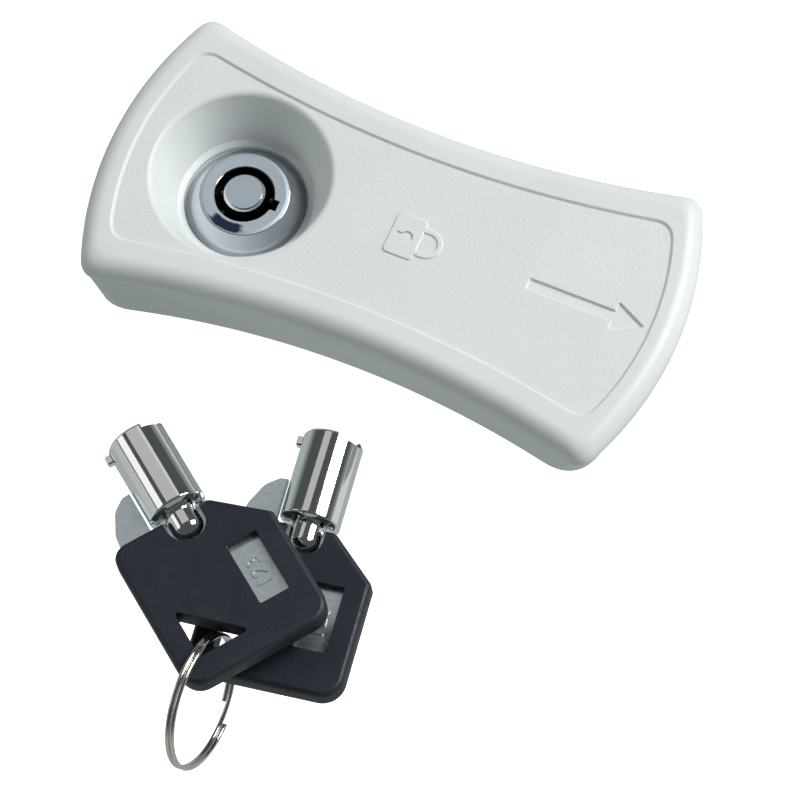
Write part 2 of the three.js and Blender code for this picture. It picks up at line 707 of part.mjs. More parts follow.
function keyHead() {
  const [bow, shoulder, half] = [HEAD_BOW - HEAD_EDGE, HEAD_SHOULDER + HEAD_EDGE, HEAD_HALF - HEAD_EDGE];
  const shape = new THREE.Shape();
  shape.moveTo(shoulder, -half + 2.4);
  shape.quadraticCurveTo(shoulder, -half, shoulder + 2.4, -half);
  shape.lineTo(bow - 2.6, -half);
  shape.quadraticCurveTo(bow, -half, bow, -half + 2.6);
  shape.lineTo(bow, half - 3.2);
  shape.quadraticCurveTo(bow, half, bow - 3.2, half);
  shape.lineTo(shoulder + 7.2, half);
  shape.quadraticCurveTo(shoulder + 6.4, half, shoulder + 5.8, half - 0.6);
  shape.lineTo(shoulder + 0.3, 5.6);
  shape.quadraticCurveTo(shoulder, 5.3, shoulder, 4.8);
  const blank = new THREE.ExtrudeGeometry(shape, {
    depth: HEAD - 2 * HEAD_EDGE,
    bevelThickness: HEAD_EDGE,
    bevelSize: HEAD_EDGE,
    bevelSegments: 2,
    curveSegments: 5,
  });
  blank.translate(0, 0, HEAD_EDGE - HEAD / 2);
  const slot = plate([
    [HEAD_SHOULDER - 2, 4.7], [HEAD_SHOULDER - 2, -10.9], [17.5, -10.9], [28.2, -10.5], [28.2, -0.2],
    [37.2, 2], [37.2, 9.8], [24, 9.8], [18.4, 4.7],
  ], -BLADE / 2 - BLADE_GAP, BLADE / 2 + BLADE_GAP);
  const neckRoomR = KEY_NECK_R + 0.5;
  const neckRoom = join([
    rod(neckRoomR, -HEAD, HEAD, KEY_NECK_END - KEY_NECK_R, 0, 32),
    block(HEAD_SHOULDER - 2, KEY_NECK_END - KEY_NECK_R, -neckRoomR, neckRoomR, -HEAD, HEAD),
  ]);
  const { x0, x1, y0, y1 } = NUMBER_WINDOW;
  const numberWindow = block(x0, x1, y0, y1, -HEAD, HEAD);
  const hole = RING_HOLE;
  const ringHole = plate([[hole.x0, hole.y0], [hole.x1, hole.y0], [hole.x1, hole.y1]], -HEAD, HEAD);
  return cut(solid(blank), [slot, neckRoom, numberWindow, ringHole]);
}

function key(number, pose) {
  const group = new THREE.Group();
  group.position.set(pose.x, pose.y, pose.z);
  group.rotation.set(rad(pose.roll), rad(-pose.pitch), rad(pose.heading), 'ZYX');
  group.add(named(`key_${number}_barrel`, keyBarrel(), CHROME));
  group.add(named(`key_${number}_blade`, keyBlade(), STEEL));
  group.add(named(`key_${number}_head`, keyHead(), BLACK_PLASTIC));
  return group;
}

function keyRing() {
  const length = RING_PITCH * RING_TURNS;
  const path = new Helix(RING_R, length, RING_TURNS, 0, 0, -length / 2, rad(RING_START));
  const mesh = named('key_ring', wire(path, RING_WIRE_R, 8, 48), CHROME);
  mesh.position.set(RING_POSE.x, RING_POSE.y, RING_POSE.z);
  mesh.rotation.set(0, rad(-RING_POSE.tilt), rad(RING_POSE.heading), 'ZYX');
  return mesh;
}

// ---------------------------------------------------------------- assembly

function lock() {
  const group = new THREE.Group();
  group.position.set(LOCK_X, 0, 0);
  group.add(named('lock_housing', lockHousing(), CHROME));
  group.add(named('pin_sleeve', pinSleeve(), BRASS));
  group.add(named('sleeve_pin', sleevePin(), STEEL));
  group.add(named('rotor', rotor(), CHROME));
  for (let k = 0; k < PINS; k += 1) {
    group.add(named(`key_pin_${k + 1}`, keyPin(k), BRASS));
    group.add(named(`driver_pin_${k + 1}`, driverPin(k), STEEL));
    group.add(named(`pin_spring_${k + 1}`, pinSpring(k), STEEL));
  }
  group.add(named('stop_washer', stopWasher(), STEEL));
  group.add(named('cam', cam(), STEEL));
  group.add(named('cam_spring_washer', camSpringWasher(), STEEL));
  group.add(named('cam_nut', camNut(), STEEL));
  return group;
}

const object = new THREE.Group();
object.add(named('handle_shell', handleShell(), WHITE_PLASTIC));
object.add(named('pane_gasket', paneGasket(), BLACK_RUBBER));
object.add(lock());
object.add(named('clamp_washer', clampWasher(), STEEL));
object.add(named('tooth_washer', toothWasher(), STEEL));
object.add(named('lock_nut', lockNut(), BRASS));
object.add(named('threaded_insert', threadedInsert(), BRASS));
object.add(named('screw_washer', screwWasher(), STEEL));
object.add(named('fixing_screw', fixingScrew(), STEEL));
KEY_POSES.forEach((pose, k) => object.add(key(k + 1, pose)));
object.add(keyRing());

export default object;
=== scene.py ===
import math

import bmesh
import bpy
from mathutils import Matrix, Vector


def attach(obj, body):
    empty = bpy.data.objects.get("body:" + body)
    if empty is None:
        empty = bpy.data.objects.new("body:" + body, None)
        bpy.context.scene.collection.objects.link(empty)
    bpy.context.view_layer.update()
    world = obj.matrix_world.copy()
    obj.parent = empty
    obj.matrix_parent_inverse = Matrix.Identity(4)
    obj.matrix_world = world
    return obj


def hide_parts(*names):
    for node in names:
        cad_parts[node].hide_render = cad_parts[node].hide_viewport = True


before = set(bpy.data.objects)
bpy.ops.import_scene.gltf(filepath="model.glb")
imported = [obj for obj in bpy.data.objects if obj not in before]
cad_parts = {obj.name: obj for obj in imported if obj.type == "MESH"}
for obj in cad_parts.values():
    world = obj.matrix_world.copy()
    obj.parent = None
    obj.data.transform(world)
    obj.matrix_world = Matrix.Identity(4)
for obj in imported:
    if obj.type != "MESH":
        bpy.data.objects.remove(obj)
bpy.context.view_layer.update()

# Keyed window lock: pull handle, tubular cam lock with its inside hardware, two keys on a ring.
# Shapes are drawn in millimetres in the row frame (z = 0 is the outer face of the pane, +X runs
# from the lock to the arrow) and scaled to metres when a mesh is made.

MM = 0.001
LEVEL = 0.99999  # a face whose normal is this close to Z is flat
CORNER_STEPS = 9  # straight pieces in each of the handle's corners

# -------------------------------------------------- driving dimensions, as in the CAD

HANDLE = {"corner_x": 42.8, "corner_y": 24.9, "side_sag": 5.4, "end_sag": 5.8, "corner_cut": 2.6}
PANEL = {"corner_x": 40.5, "corner_y": 18.2, "side_sag": 4.17, "end_sag": 3.6, "corner_cut": 2.8}
FOOT = {"corner_x": 41.7, "corner_y": 24.65, "side_sag": 5.65, "end_sag": 3.1, "corner_cut": 6.8}
FOOT_TAPER = 0.033
TOP_Z = 13.0
RIM_Z = 0.15
PANEL_Z = TOP_Z - 0.4
SHOULDER_WIDTH = 3.0
SHOULDER_DROP = 3.2
PARTING_Z = TOP_Z - 3.8
PARTING_STEP = 0.15
WALL = 2.2
ROOF_Z = TOP_Z - 2.6
RIB = 1.4
RIB_X = (-4.0, 8.0, 20.0)
GASKET = 0.6
PANE = 6.0
ARROW = {"tail": 23.5, "neck": 38.0, "tip": 43.0, "half": 0.9, "wing": 2.45}
SIGN_X = 4.0

LOCK_X = -26.0
MOUTH_R = 14.1
MOUTH_SOFT = 1.1
CONE_R = 11.0
CONE_Z = TOP_Z - 10.0
SEAT_R = 9.95
SEAT_Z = 1.5
WELL_WALL = 1.8

BEZEL_R = 9.7
FACE_R = 7.33
FACE_Z = TOP_Z - 7.55
BARREL_R = 8.0
BARREL_FLAT = 7.4
BARREL_END_Z = -22.0
KEYWAY_R = 4.85
KEYWAY_END_Z = -1.0
CHAMBER_R = 6.25
GROOVE_R = 5.85
GROOVE_LOW_Z = 1.4
GROOVE_HIGH_Z = 3.6
LUG_NOTCH = 1.9
CROSS_PIN_Z = -10.0
CROSS_PIN_ROOM = 0.85

PINS = 7
PIN_CIRCLE_R = 4.15
PIN_R = 0.62
PIN_CUTS = (0.9, 1.5, 0.6, 1.2, 0.9, 1.5, 0.6)
PIN_FRONT_Z = FACE_Z - 2.6
SHEAR_Z = -5.2
POST_R = 3.4
POST_Z = FACE_Z + 0.8
POST_CHAMFER = 0.45
ROTOR_R = 6.15
ROTOR_FRONT_Z = -1.1
SHAFT_R = 2.6
SHAFT_FLAT = 2.0
SHAFT_END_Z = -31.0

SCREW_X = 31.0
SCREW_R = 1.9
INSERT_R = 2.9
INSERT_LOW_Z = 1.1
INSERT_HIGH_Z = 9.1
SCREW_WASHER = 1.2

STACK_GAP = 0.02
CLAMP_R = 13.0
CLAMP = 1.5
TOOTH = 0.8
LOCK_NUT = 4.0
CAM = 2.0
CAM_HUB_R = 7.0
CAM_TIP_R = 5.5
CAM_TIP_X = 24.5
CAM_NUT = 3.5

KEY_TUBE_R = 4.75
KEY_BORE_R = 3.95
KEY_TIP = 0.7
KEY_TUBE = 15.4
KEY_BORE = 13.2
KEY_NECK_R = 2.65
KEY_NECK_END = 20.4
KEY_DOME = 2.2
KEY_LUG = {"start": 1.2, "stop": 2.7, "high": 0.85, "half": 0.75}
TIP_SLOT = (15, 73)
TIP_SLOT_DEPTH = 0.9
BLADE = 1.2
HEAD = 4.0
HEAD_BOW = 42.5
HEAD_SHOULDER = 16.1
HEAD_HALF = 12.3
WINDOW = {"x0": 24.7, "x1": 35.6, "y0": 3.4, "y1": 8.5}
RING_HOLE = {"x0": 29.9, "x1": 38.4, "y0": -8.5, "y1": 0.0}
KEY_POSES = (
    {"x": -21.8, "y": -48.5, "z": 15.8, "heading": -36.9, "pitch": 3.45, "roll": 1.2},
    {"x": 5.75, "y": -34.65, "z": 10.0, "heading": -81.2, "pitch": 1.2, "roll": 3.4},
)

RING_R = 10.4
RING_WIRE_R = 0.36
RING_PITCH = 0.78
RING_START = 22.0
RING_TURNS = 1.95
RING_POSE = {"x": 5.1, "y": -82.2, "z": 11.6, "heading": 1.0, "tilt": -79.8}

FLOOR_Z = -31.6

# -------------------------------------------------- outlines


def rounded(corners, closed=True, steps=6):
    """A path whose corners (x, y, radius) are turned into arcs."""
    path = []
    for k, (x, y, radius) in enumerate(corners):
        if radius <= 0 or (not closed and k in (0, len(corners) - 1)):
            path.append((x, y))
            continue
        here = Vector((x, y))
        before = Vector(corners[k - 1][:2]) - here
        after = Vector(corners[(k + 1) % len(corners)][:2]) - here
        half = before.angle(after) / 2
        reach = min(radius / math.tan(half), 0.49 * before.length, 0.49 * after.length)
        a, b = before.normalized(), after.normalized()
        centre = here + (a + b).normalized() * reach / math.cos(half)
        start, stop = here + a * reach - centre, here + b * reach - centre
        turn = math.pi - 2 * half
        for i in range(steps + 1):
            share = i / steps
            w0 = math.sin((1 - share) * turn) / math.sin(turn)
            w1 = math.sin(share * turn) / math.sin(turn)
            path.append(tuple(centre + start * w0 + stop * w1))
    return path


def offset(outline, distance):
    """An anticlockwise outline grown outwards by a distance, with mitred corners."""
    moved = []
    for k, (x, y) in enumerate(outline):
        before = (Vector((x, y)) - Vector(outline[k - 1])).normalized()
        after = (Vector(outline[(k + 1) % len(outline)]) - Vector((x, y))).normalized()
        out = Vector((before.y + after.y, -before.x - after.x))
        moved.append(tuple(Vector((x, y)) + out * 2 * distance / out.length_squared))
    return moved


def arc_points(p, q, sag, start, stop, steps):
    """An arc from p to q that bulges to its left by sag, between two shares of its turn."""
    chord = math.dist(p, q)
    radius = (chord * chord / 4 + sag * sag) / (2 * sag)
    half = math.asin(chord / 2 / radius)
    ux, uy = (q[0] - p[0]) / chord, (q[1] - p[1]) / chord
    points = []
    for k in range(steps + 1):
        angle = half * (2 * (start + (stop - start) * k / steps) - 1)
        along = chord / 2 + radius * math.sin(angle)
        out = radius * math.cos(angle) - radius + sag
        points.append((p[0] + ux * along - uy * out, p[1] + uy * along + ux * out))
    return points


def bowtie(corner_x, corner_y, side_sag, end_sag, corner_cut):
    """The handle's outline, anticlockwise: hollow long sides, full ends and soft corners."""
    corners = [(sx * corner_x, sy * corner_y) for sx, sy in ((1, 1), (-1, 1), (-1, -1), (1, -1))]
    sags = (side_sag, -end_sag, side_sag, -end_sag)
    steps = (56, 32, 56, 32)
    edges = []
    for k in range(4):
        here, there = corners[k], corners[(k + 1) % 4]
        share = corner_cut / math.dist(here, there)
        edges.append(arc_points(here, there, sags[k], share, 1 - share, steps[k]))
    points = []
    for k, edge in enumerate(edges):
        points += edge
        p, corner, q = edge[-1], corners[(k + 1) % 4], edges[(k + 1) % 4][0]
        for i in range(1, CORNER_STEPS):
            t = i / CORNER_STEPS
            a, b, c = (1 - t) ** 2, 2 * t * (1 - t), t * t
            points.append(tuple(a * p[j] + b * corner[j] + c * q[j] for j in (0, 1)))
    return points


def inset(distance, outline=HANDLE):
    """A bow-tie outline moved inwards."""
    slope_x, slope_y = 0.52, 1.165
    return bowtie(
        outline["corner_x"] - slope_x * distance,
        outline["corner_y"] - slope_y * distance,
        outline["side_sag"] - (slope_y - 1) * distance,
        outline["end_sag"] - (1 - slope_x) * distance,
        outline["corner_cut"],
    )


def foot(distance):
    """The outline that the handle stands on, a little wider at the lock's end."""
    return [(x, y * (1 - FOOT_TAPER * x / FOOT["corner_x"])) for x, y in inset(distance, FOOT)]


def circle(x, y, r, sides):
    points = []
    for k in range(sides):
        angle = 2 * math.pi * k / sides
        points.append((x + r * math.cos(angle), y + r * math.sin(angle)))
    return points


def regular(sides, across):
    """A polygon of a given width across its flats."""
    return circle(0, 0, across / 2 / math.cos(math.pi / sides), sides)


def box_outline(x0, x1, y0, y1, radius=0.0):
    return rounded([(x0, y0, radius), (x1, y0, radius), (x1, y1, radius), (x0, y1, radius)])


def arc(x, y, radius, start, stop, steps):
    """Points of an arc about (x, y), between two angles in degrees."""
    points = []
    for k in range(steps + 1):
        angle = math.radians(start + (stop - start) * k / steps)
        points.append((x + radius * math.cos(angle), y + radius * math.sin(angle)))
    return points


# -------------------------------------------------- meshes


def mesh_object(name, points, faces):
    """A closed mesh from millimetre points, its faces pointing out."""
    mesh = bpy.data.meshes.new(name)
    mesh.from_pydata([tuple(c * MM for c in p) for p in points], [], faces)
    work = bmesh.new()
    work.from_mesh(mesh)
    bmesh.ops.remove_doubles(work, verts=work.verts, dist=1e-8)
    bmesh.ops.recalc_face_normals(work, faces=work.faces)
    work.to_mesh(mesh)
    work.free()
    obj = bpy.data.objects.new(name, mesh)
    bpy.context.scene.collection.objects.link(obj)
    return obj


def skin(name, rings, wrap=False):
    """A skin through rings with the same number of points, closed by flat caps or onto itself."""
    count = len(rings[0])
    points = [p for ring in rings for p in ring]
    faces = []
    for layer in range(len(rings) if wrap else len(rings) - 1):
        low, high = layer * count, (layer + 1) % len(rings) * count
        for k in range(count):
            n = (k + 1) % count
            faces.append((low + k, low + n, high + n, high + k))
    if not wrap:
        faces.append(tuple(range(count)))
        faces.append(tuple(range((len(rings) - 1) * count, len(rings) * count)))
    return mesh_object(name, points, faces)


def stack(name, outline, levels):
    """A plate whose outline grows by the first number of each level at the height of the second."""
    return skin(name, [[(x, y, z) for x, y in offset(outline, grow)] for grow, z in levels])


def loft(name, layers):
    return skin(name, [[(x, y, z) for x, y in outline] for outline, z in layers])


def plate(name, outline, z0, z1, edge=0.15):
    """A plate with small broken edges."""
    return stack(name, outline, [(-edge, z0), (0, z0 + edge), (0, z1 - edge), (-edge, z1)])


def prism(name, outline, z0, z1):
    return loft(name, [(outline, z0), (outline, z1)])


def turned(name, profile, x=0.0, y=0.0, segments=96, wrap=False):
    """A turned body from (radius, z) pairs; a wrapped one is a closed ring."""
    rings = [[(px, py, z) for px, py in circle(x, y, r, segments)] for r, z in profile]
    return skin(name, rings, wrap)


def rod(name, r, z0, z1, x=0.0, y=0.0, segments=96):
    return turned(name, [(r, z0), (r, z1)], x, y, segments)


def washer(name, r_in, r_out, z0, z1, x=0.0, edge=0.12, segments=96):
    """A flat ring with broken edges."""
    corners = ((r_in, z0), (r_out, z0), (r_out, z1), (r_in, z1))
    profile = rounded([(*corner, edge) for corner in corners], steps=3)
    return turned(name, profile, x, 0.0, segments, wrap=True)


def block(name, x0, x1, y0, y1, z0, z1):
    return prism(name, [(x0, y0), (x1, y0), (x1, y1), (x0, y1)], z0, z1)


def threaded(name, r, depth, pitch, z0, z1, segments=72, per_turn=8):
    """A rod with a V thread; the crests fade into the ends."""
    steps = math.ceil((z1 - z0) / pitch * per_turn)
    rings = []
    for i in range(steps + 1):
        z = z0 + (z1 - z0) * i / steps
        fade = min(1.0, min(z - z0, z1 - z) / pitch)
        ring = []
        for k in range(segments):
            phase = (z / pitch - k / segments) % 1.0
            radius = r - depth * (1 - fade * (1 - abs(2 * phase - 1)))
            angle = 2 * math.pi * k / segments
            ring.append((radius * math.cos(angle), radius * math.sin(angle), z))
        rings.append(ring)
    return skin(name, rings)


def baked(obj):
    """Applies the modifiers of an object to its mesh."""
    bpy.context.view_layer.update()
    graph = bpy.context.evaluated_depsgraph_get()
    mesh = bpy.data.meshes.new_from_object(obj.evaluated_get(graph))
    obj.modifiers.clear()
    obj.data = mesh
    return obj


def combine(obj, tools, operation):
    """Adds, cuts or intersects with other closed meshes, which are used up."""
    for tool in tools:
        modifier = obj.modifiers.new("combine", "BOOLEAN")
        modifier.operation = operation
        modifier.solver = "MANIFOLD"
        modifier.object = tool
    baked(obj)
    for tool in tools:
        bpy.data.objects.remove(tool)
    return obj


def cut(obj, *tools):
    return combine(obj, tools, "DIFFERENCE")


def join(obj, *tools):
    return combine(obj, tools, "UNION")


def common(obj, *tools):
    return combine(obj, tools, "INTERSECT")


def moved(obj, matrix):
    """Moves the mesh of an object by a matrix whose offsets are in millimetres."""
    metres = matrix.copy()
    metres.translation *= MM
    obj.data.transform(metres)
    if matrix.determinant() < 0:
        obj.data.flip_normals()
    return obj


def smooth(obj, angle=28.0):
    """Soft shading that stops at edges sharper than an angle, with flats kept flat."""
    work = bmesh.new()
    work.from_mesh(obj.data)
    bmesh.ops.dissolve_degenerate(work, dist=2e-7, edges=work.edges)
    bmesh.ops.triangulate(work, faces=[face for face in work.faces if len(face.verts) > 4])
    work.to_mesh(obj.data)
    work.free()
    obj.data.shade_smooth()
    obj.data.set_sharp_from_angle(angle=math.radians(angle))
    for face in obj.data.polygons:
        face.use_smooth = abs(face.normal.z) < LEVEL
    modifier = obj.modifiers.new("flats", "WEIGHTED_NORMAL")
    modifier.keep_sharp = True
    modifier.weight = 90
    return obj


def paint(obj, materials, choose=None):
    """Gives the faces their materials; choose(centre, normal) in millimetres returns the index."""
    obj.data.materials.clear()
    for material in materials:
        obj.data.materials.append(material)
    for face in obj.data.polygons:
        face.material_index = choose(face.center / MM, face.normal) if choose else 0
    return obj


def piece(obj, body, slot, *nodes):
    """A finished piece: its body, its finish slot, which is not used, and the CAD nodes that it
    stands for.
    """
    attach(obj, body)
    if nodes:
        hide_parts(*nodes)
    return obj


# -------------------------------------------------- materials


class Finish:
    """A Principled material with textures in object space."""

    def __init__(self, name, color, roughness, metallic=0.0, **constants):
        self.material = bpy.data.materials.new(name)
        self.material.use_nodes = True
        self.nodes = self.material.node_tree.nodes
        self.links = self.material.node_tree.links
        self.shader = self.nodes["Principled BSDF"]
        self.shader.inputs["Base Color"].default_value = (*color, 1)
        self.shader.inputs["Roughness"].default_value = roughness
        self.shader.inputs["Metallic"].default_value = metallic
        for socket, value in constants.items():
            self.shader.inputs[socket.replace("_", " ").title()].default_value = value
        self.place = self.nodes.new("ShaderNodeTexCoord").outputs["Object"]
        self.normal = None

    def node(self, kind, inputs=None, **settings):
        made = self.nodes.new(kind)
        for key, value in settings.items():
            setattr(made, key, value)
        for key, value in (inputs or {}).items():
            if isinstance(value, bpy.types.NodeSocket):
                self.links.new(value, made.inputs[key])
            else:
                made.inputs[key].default_value = value
        return made

    def stretched(self, x=1.0, y=1.0, z=1.0, turn=(0, 0, 0)):
        """Object coordinates scaled along each axis, for directional textures."""
        inputs = {"Vector": self.place, "Scale": (x, y, z), "Rotation": turn}
        made = self.node("ShaderNodeMapping", inputs)
        return made.outputs["Vector"]

    def noise(self, size_mm, detail=3.0, rough=0.5, distortion=0.0, at=None):
        made = self.node("ShaderNodeTexNoise", {
            "Vector": at or self.place, "Scale": 1 / (size_mm * MM), "Detail": detail,
            "Roughness": rough, "Distortion": distortion})
        return made.outputs["Fac"]

    def pits(self, size_mm):
        """Soft round cells."""
        inputs = {"Vector": self.place, "Scale": 1 / (size_mm * MM)}
        made = self.node("ShaderNodeTexVoronoi", inputs, feature="SMOOTH_F1")
        return made.outputs["Distance"]

    def fit(self, value, low, high, to_low, to_high):
        """Maps a value from one range to another, clamped."""
        made = self.node("ShaderNodeMapRange", {"Value": value, "From Min": low, "From Max": high,
                                                "To Min": to_low, "To Max": to_high})
        return made.outputs["Result"]

    def math(self, operation, a, b=0.0):
        made = self.node("ShaderNodeMath", operation=operation)
        for k, value in enumerate((a, b)):
            if isinstance(value, bpy.types.NodeSocket):
                self.links.new(value, made.inputs[k])
            else:
                made.inputs[k].default_value = value
        return made.outputs[0]

    def blend(self, share, first, second):
        """A colour between two others."""
        made = self.node("ShaderNodeMix", data_type="RGBA")
        for key, value in ((0, share), (6, first), (7, second)):
            if isinstance(value, bpy.types.NodeSocket):
                self.links.new(value, made.inputs[key])
            else:
                made.inputs[key].default_value = value if key == 0 else (*value, 1)
        return made.outputs[2]

    def color(self, socket):
        self.links.new(socket, self.shader.inputs["Base Color"])
        return self

    def roughness(self, socket):
        self.links.new(socket, self.shader.inputs["Roughness"])
        return self

    def bump(self, height, depth_mm, strength=1.0):
        inputs = {"Height": height, "Distance": depth_mm * MM, "Strength": strength}
        if self.normal is not None:
            inputs["Normal"] = self.normal
        self.normal = self.node("ShaderNodeBump", inputs).outputs["Normal"]
        self.links.new(self.normal, self.shader.inputs["Normal"])
        return self


def white_plastic(name, grain):
    made = Finish(name, (0.78, 0.80, 0.79), 0.42)
    cloud = made.noise(14.0, 4.0)
    share = made.fit(cloud, 0.35, 0.65, 0, 1)
    made.color(made.blend(share, (0.75, 0.79, 0.79), (0.785, 0.82, 0.815)))
    made.roughness(made.fit(made.noise(3.0, 4.0), 0.3, 0.7, 0.36, 0.5))
    if grain:
        ripple = made.noise(0.52, 2.0, 0.5, 0.3, made.stretched(1.0, 0.75, 1.0, turn=(0, 0, 0.6)))
        pits = made.pits(0.45)
        made.bump(made.fit(ripple, 0.3, 0.7, 0, 1), 0.03)
        made.bump(pits, 0.012)
    else:
        made.bump(made.noise(0.5, 2.0), 0.003)
    return made.material


def rubber():
    made = Finish("black_rubber", (0.022, 0.022, 0.024), 0.75)
    made.roughness(made.fit(made.noise(2.0, 4.0), 0.3, 0.7, 0.62, 0.88))
    made.bump(made.noise(0.4, 3.0), 0.02)
    return made.material


def chrome(name, color=(0.80, 0.81, 0.83), rough=(0.05, 0.12)):
    made = Finish(name, color, rough[0], 1.0)
    haze = made.noise(4.0, 5.0, 0.6)
    made.roughness(made.fit(haze, 0.35, 0.75, *rough))
    made.bump(made.noise(1.6, 2.0), 0.004)
    made.bump(made.noise(0.12, 2.0), 0.0006)
    return made.material


def face_metal():
    """Ground face of the lock; the plating turns near black in a ragged crescent below the keyway.
    """
    made = Finish("lock_face", (0.52, 0.57, 0.64), 0.5, 1.0)
    speck = made.noise(0.35, 4.0, 0.7)
    plating = made.blend(made.fit(speck, 0.3, 0.7, 0, 1), (0.56, 0.63, 0.70), (0.66, 0.74, 0.81))
    parts = made.node("ShaderNodeSeparateXYZ", {"Vector": made.place})
    x, y = parts.outputs["X"], parts.outputs["Y"]
    squares = made.math("MULTIPLY", x, x), made.math("MULTIPLY", y, y)
    radius = made.math("SQRT", made.math("ADD", *squares))
    off_track = made.math("ABSOLUTE", made.math("SUBTRACT", radius, 0.0062))
    off_middle = made.math("ABSOLUTE", made.math("ADD", made.math("ARCTAN2", y, x), 1.66))
    below = made.fit(off_middle, 0.3, 0.75, 1, 0)
    near = made.math("MULTIPLY", below, made.fit(off_track, 0.0006, 0.0013, 1, 0))
    # noise that makes the edge of the near-black crescent ragged
    edge_noise = made.math("MULTIPLY", made.noise(0.4, 5.0, 0.8), 0.9)
    ragged = made.fit(made.math("ADD", near, edge_noise), 1.0, 1.3, 0, 1)
    made.color(made.blend(ragged, plating, (0.03, 0.045, 0.085)))
    made.roughness(made.fit(speck, 0.3, 0.7, 0.46, 0.56))
    made.bump(speck, 0.003)
    return made.material


def turned_metal():
    """Faced end of the post, with the concentric marks of the turning tool."""
    made = Finish("post_face", (0.55, 0.61, 0.68), 0.48, 1.0)
    inputs = {"Vector": made.place, "Scale": 1100.0, "Distortion": 0.5, "Detail": 2.0,
              "Detail Scale": 1.5}
    wave = made.node("ShaderNodeTexWave", inputs, wave_type="RINGS", rings_direction="Z")
    rings = wave.outputs["Fac"]
    made.color(made.blend(rings, (0.55, 0.62, 0.69), (0.60, 0.67, 0.74)))
    made.roughness(made.fit(rings, 0, 1, 0.46, 0.52))
    made.bump(rings, 0.0012)
    return made.material


def steel(name, color=(0.46, 0.47, 0.49), rough=(0.28, 0.42), along=(1.0, 1.0, 1.0)):
    made = Finish(name, color, rough[0], 1.0)
    lay = made.noise(0.6, 4.0, 0.6, at=made.stretched(*along))
    dark = tuple(0.88 * c for c in color)
    light = tuple(min(1.0, 1.1 * c) for c in color)
    made.color(made.blend(made.fit(lay, 0.3, 0.7, 0, 1), dark, light))
    made.roughness(made.fit(made.noise(2.5, 4.0), 0.3, 0.7, *rough))
    made.bump(lay, 0.004)
    return made.material


def brass(name, color, rough):
    made = Finish(name, color, rough, 1.0)
    stain = made.noise(1.1, 4.0, 0.6)
    made.color(made.blend(made.fit(stain, 0.3, 0.7, 0, 1), tuple(0.7 * c for c in color), color))
    made.roughness(made.fit(stain, 0.3, 0.7, rough * 1.3, rough * 0.8))
    made.bump(made.noise(0.3, 3.0), 0.004)
    return made.material


def head_plastic():
    """Black moulded plastic with a fine spark-eroded grain and pale specks."""
    made = Finish("head_plastic", (0.012, 0.013, 0.018), 0.5)
    cloud = made.fit(made.noise(5.0, 3.0), 0.35, 0.65, 0, 1)
    base = made.blend(cloud, (0.0085, 0.0125, 0.0225), (0.013, 0.018, 0.029))
    specks = made.fit(made.noise(0.22, 3.0, 0.7), 0.62, 0.74, 0, 0.35)
    made.color(made.blend(specks, base, (0.07, 0.08, 0.11)))
    made.roughness(made.fit(made.noise(0.5, 4.0), 0.3, 0.7, 0.42, 0.62))
    made.bump(made.noise(0.32, 3.0, 0.6), 0.02)
    return made.material


SHELL_SMOOTH = white_plastic("shell_smooth", grain=False)
SHELL_GRAIN = white_plastic("shell_grain", grain=True)
RUBBER = rubber()
CHROME = chrome("lock_mirror", (0.62, 0.64, 0.69), (0.1, 0.2))
FACE = face_metal()
POST_FACE = turned_metal()
# near-black metal for the keyway walls, the bore and the rotor deep inside: painted shade of the
# deep hole, not the metal's own colour
BORE_PAINTED_SHADE = chrome("keyway_painted_shade", (0.05, 0.05, 0.052), (0.3, 0.45))
STEEL = steel("zinc_steel")
BRASS = brass("brass", (0.66, 0.47, 0.2), 0.25)
PIN_BRASS = brass("pin_brass", (0.28, 0.13, 0.04), 0.35)
KEY_CHROME = chrome("key_mirror", (0.86, 0.88, 0.87), (0.05, 0.1))
KEY_STEEL = steel("key_sheet", (0.74, 0.82, 0.88), (0.46, 0.52), (0.5, 1.0, 1.0))
PLATE_STEEL = steel("key_plate", (0.76, 0.83, 0.88), (0.3, 0.38), (1.0, 0.6, 1.0))
HEAD_PLASTIC = head_plastic()
NICKEL = chrome("ring_nickel", (0.72, 0.70, 0.66), (0.08, 0.16))

# -------------------------------------------------- handle


def shell_blank():
    """Outside of the handle: wall, crisp parting step, round shoulder, smooth rim, sunk panel."""
    low, high = foot(0.0), inset(2 * PARTING_STEP)
    layers = [(foot(0.25), RIM_Z)]
    for share in (0.03, 0.25, 0.5, 0.75, 0.95, 1.0):
        outline = [tuple(p + (q - p) * share for p, q in zip(a, b)) for a, b in zip(low, high)]
        layers.append((outline, RIM_Z + (PARTING_Z - PARTING_STEP - RIM_Z) * share))
    layers.append((inset(PARTING_STEP), PARTING_Z - 0.03))
    layers.append((inset(0.06), PARTING_Z + 0.03))
    steps = 16
    for k in range(steps + 1):
        angle = math.pi / 2 * (1 - k / steps)
        distance = SHOULDER_WIDTH * (1 - math.sin(angle))
        layers.append((inset(distance), TOP_Z - SHOULDER_DROP * (1 - math.cos(angle))))
    edge = bowtie(**PANEL)
    for grow, z in ((0.25, TOP_Z), (0.12, TOP_Z - 0.04), (0.03, TOP_Z - 0.14),
                    (-0.1, PANEL_Z + 0.1), (-0.2, PANEL_Z + 0.02), (-0.32, PANEL_Z)):
        layers.append((offset(edge, grow), z))
    return loft("shell", layers)


def shell_hollow(name="hollow"):
    return loft(name, [(foot(WALL), RIM_Z - 1), (inset(WALL + PARTING_STEP), PARTING_Z),
                       (inset(WALL + SHOULDER_WIDTH / 2), ROOF_Z)])


def well_cutter():
    profile = [(MOUTH_R + MOUTH_SOFT, TOP_Z + 1)]
    profile += arc(MOUTH_R + MOUTH_SOFT, PANEL_Z - MOUTH_SOFT, -MOUTH_SOFT, -90, 0, 10)
    profile += [(CONE_R, CONE_Z), (SEAT_R + 0.35, CONE_Z - 0.25)]
    profile += [(SEAT_R + 0.05, CONE_Z - 0.5), (SEAT_R, SEAT_Z)]
    return turned("well", profile, LOCK_X, 0, 144)


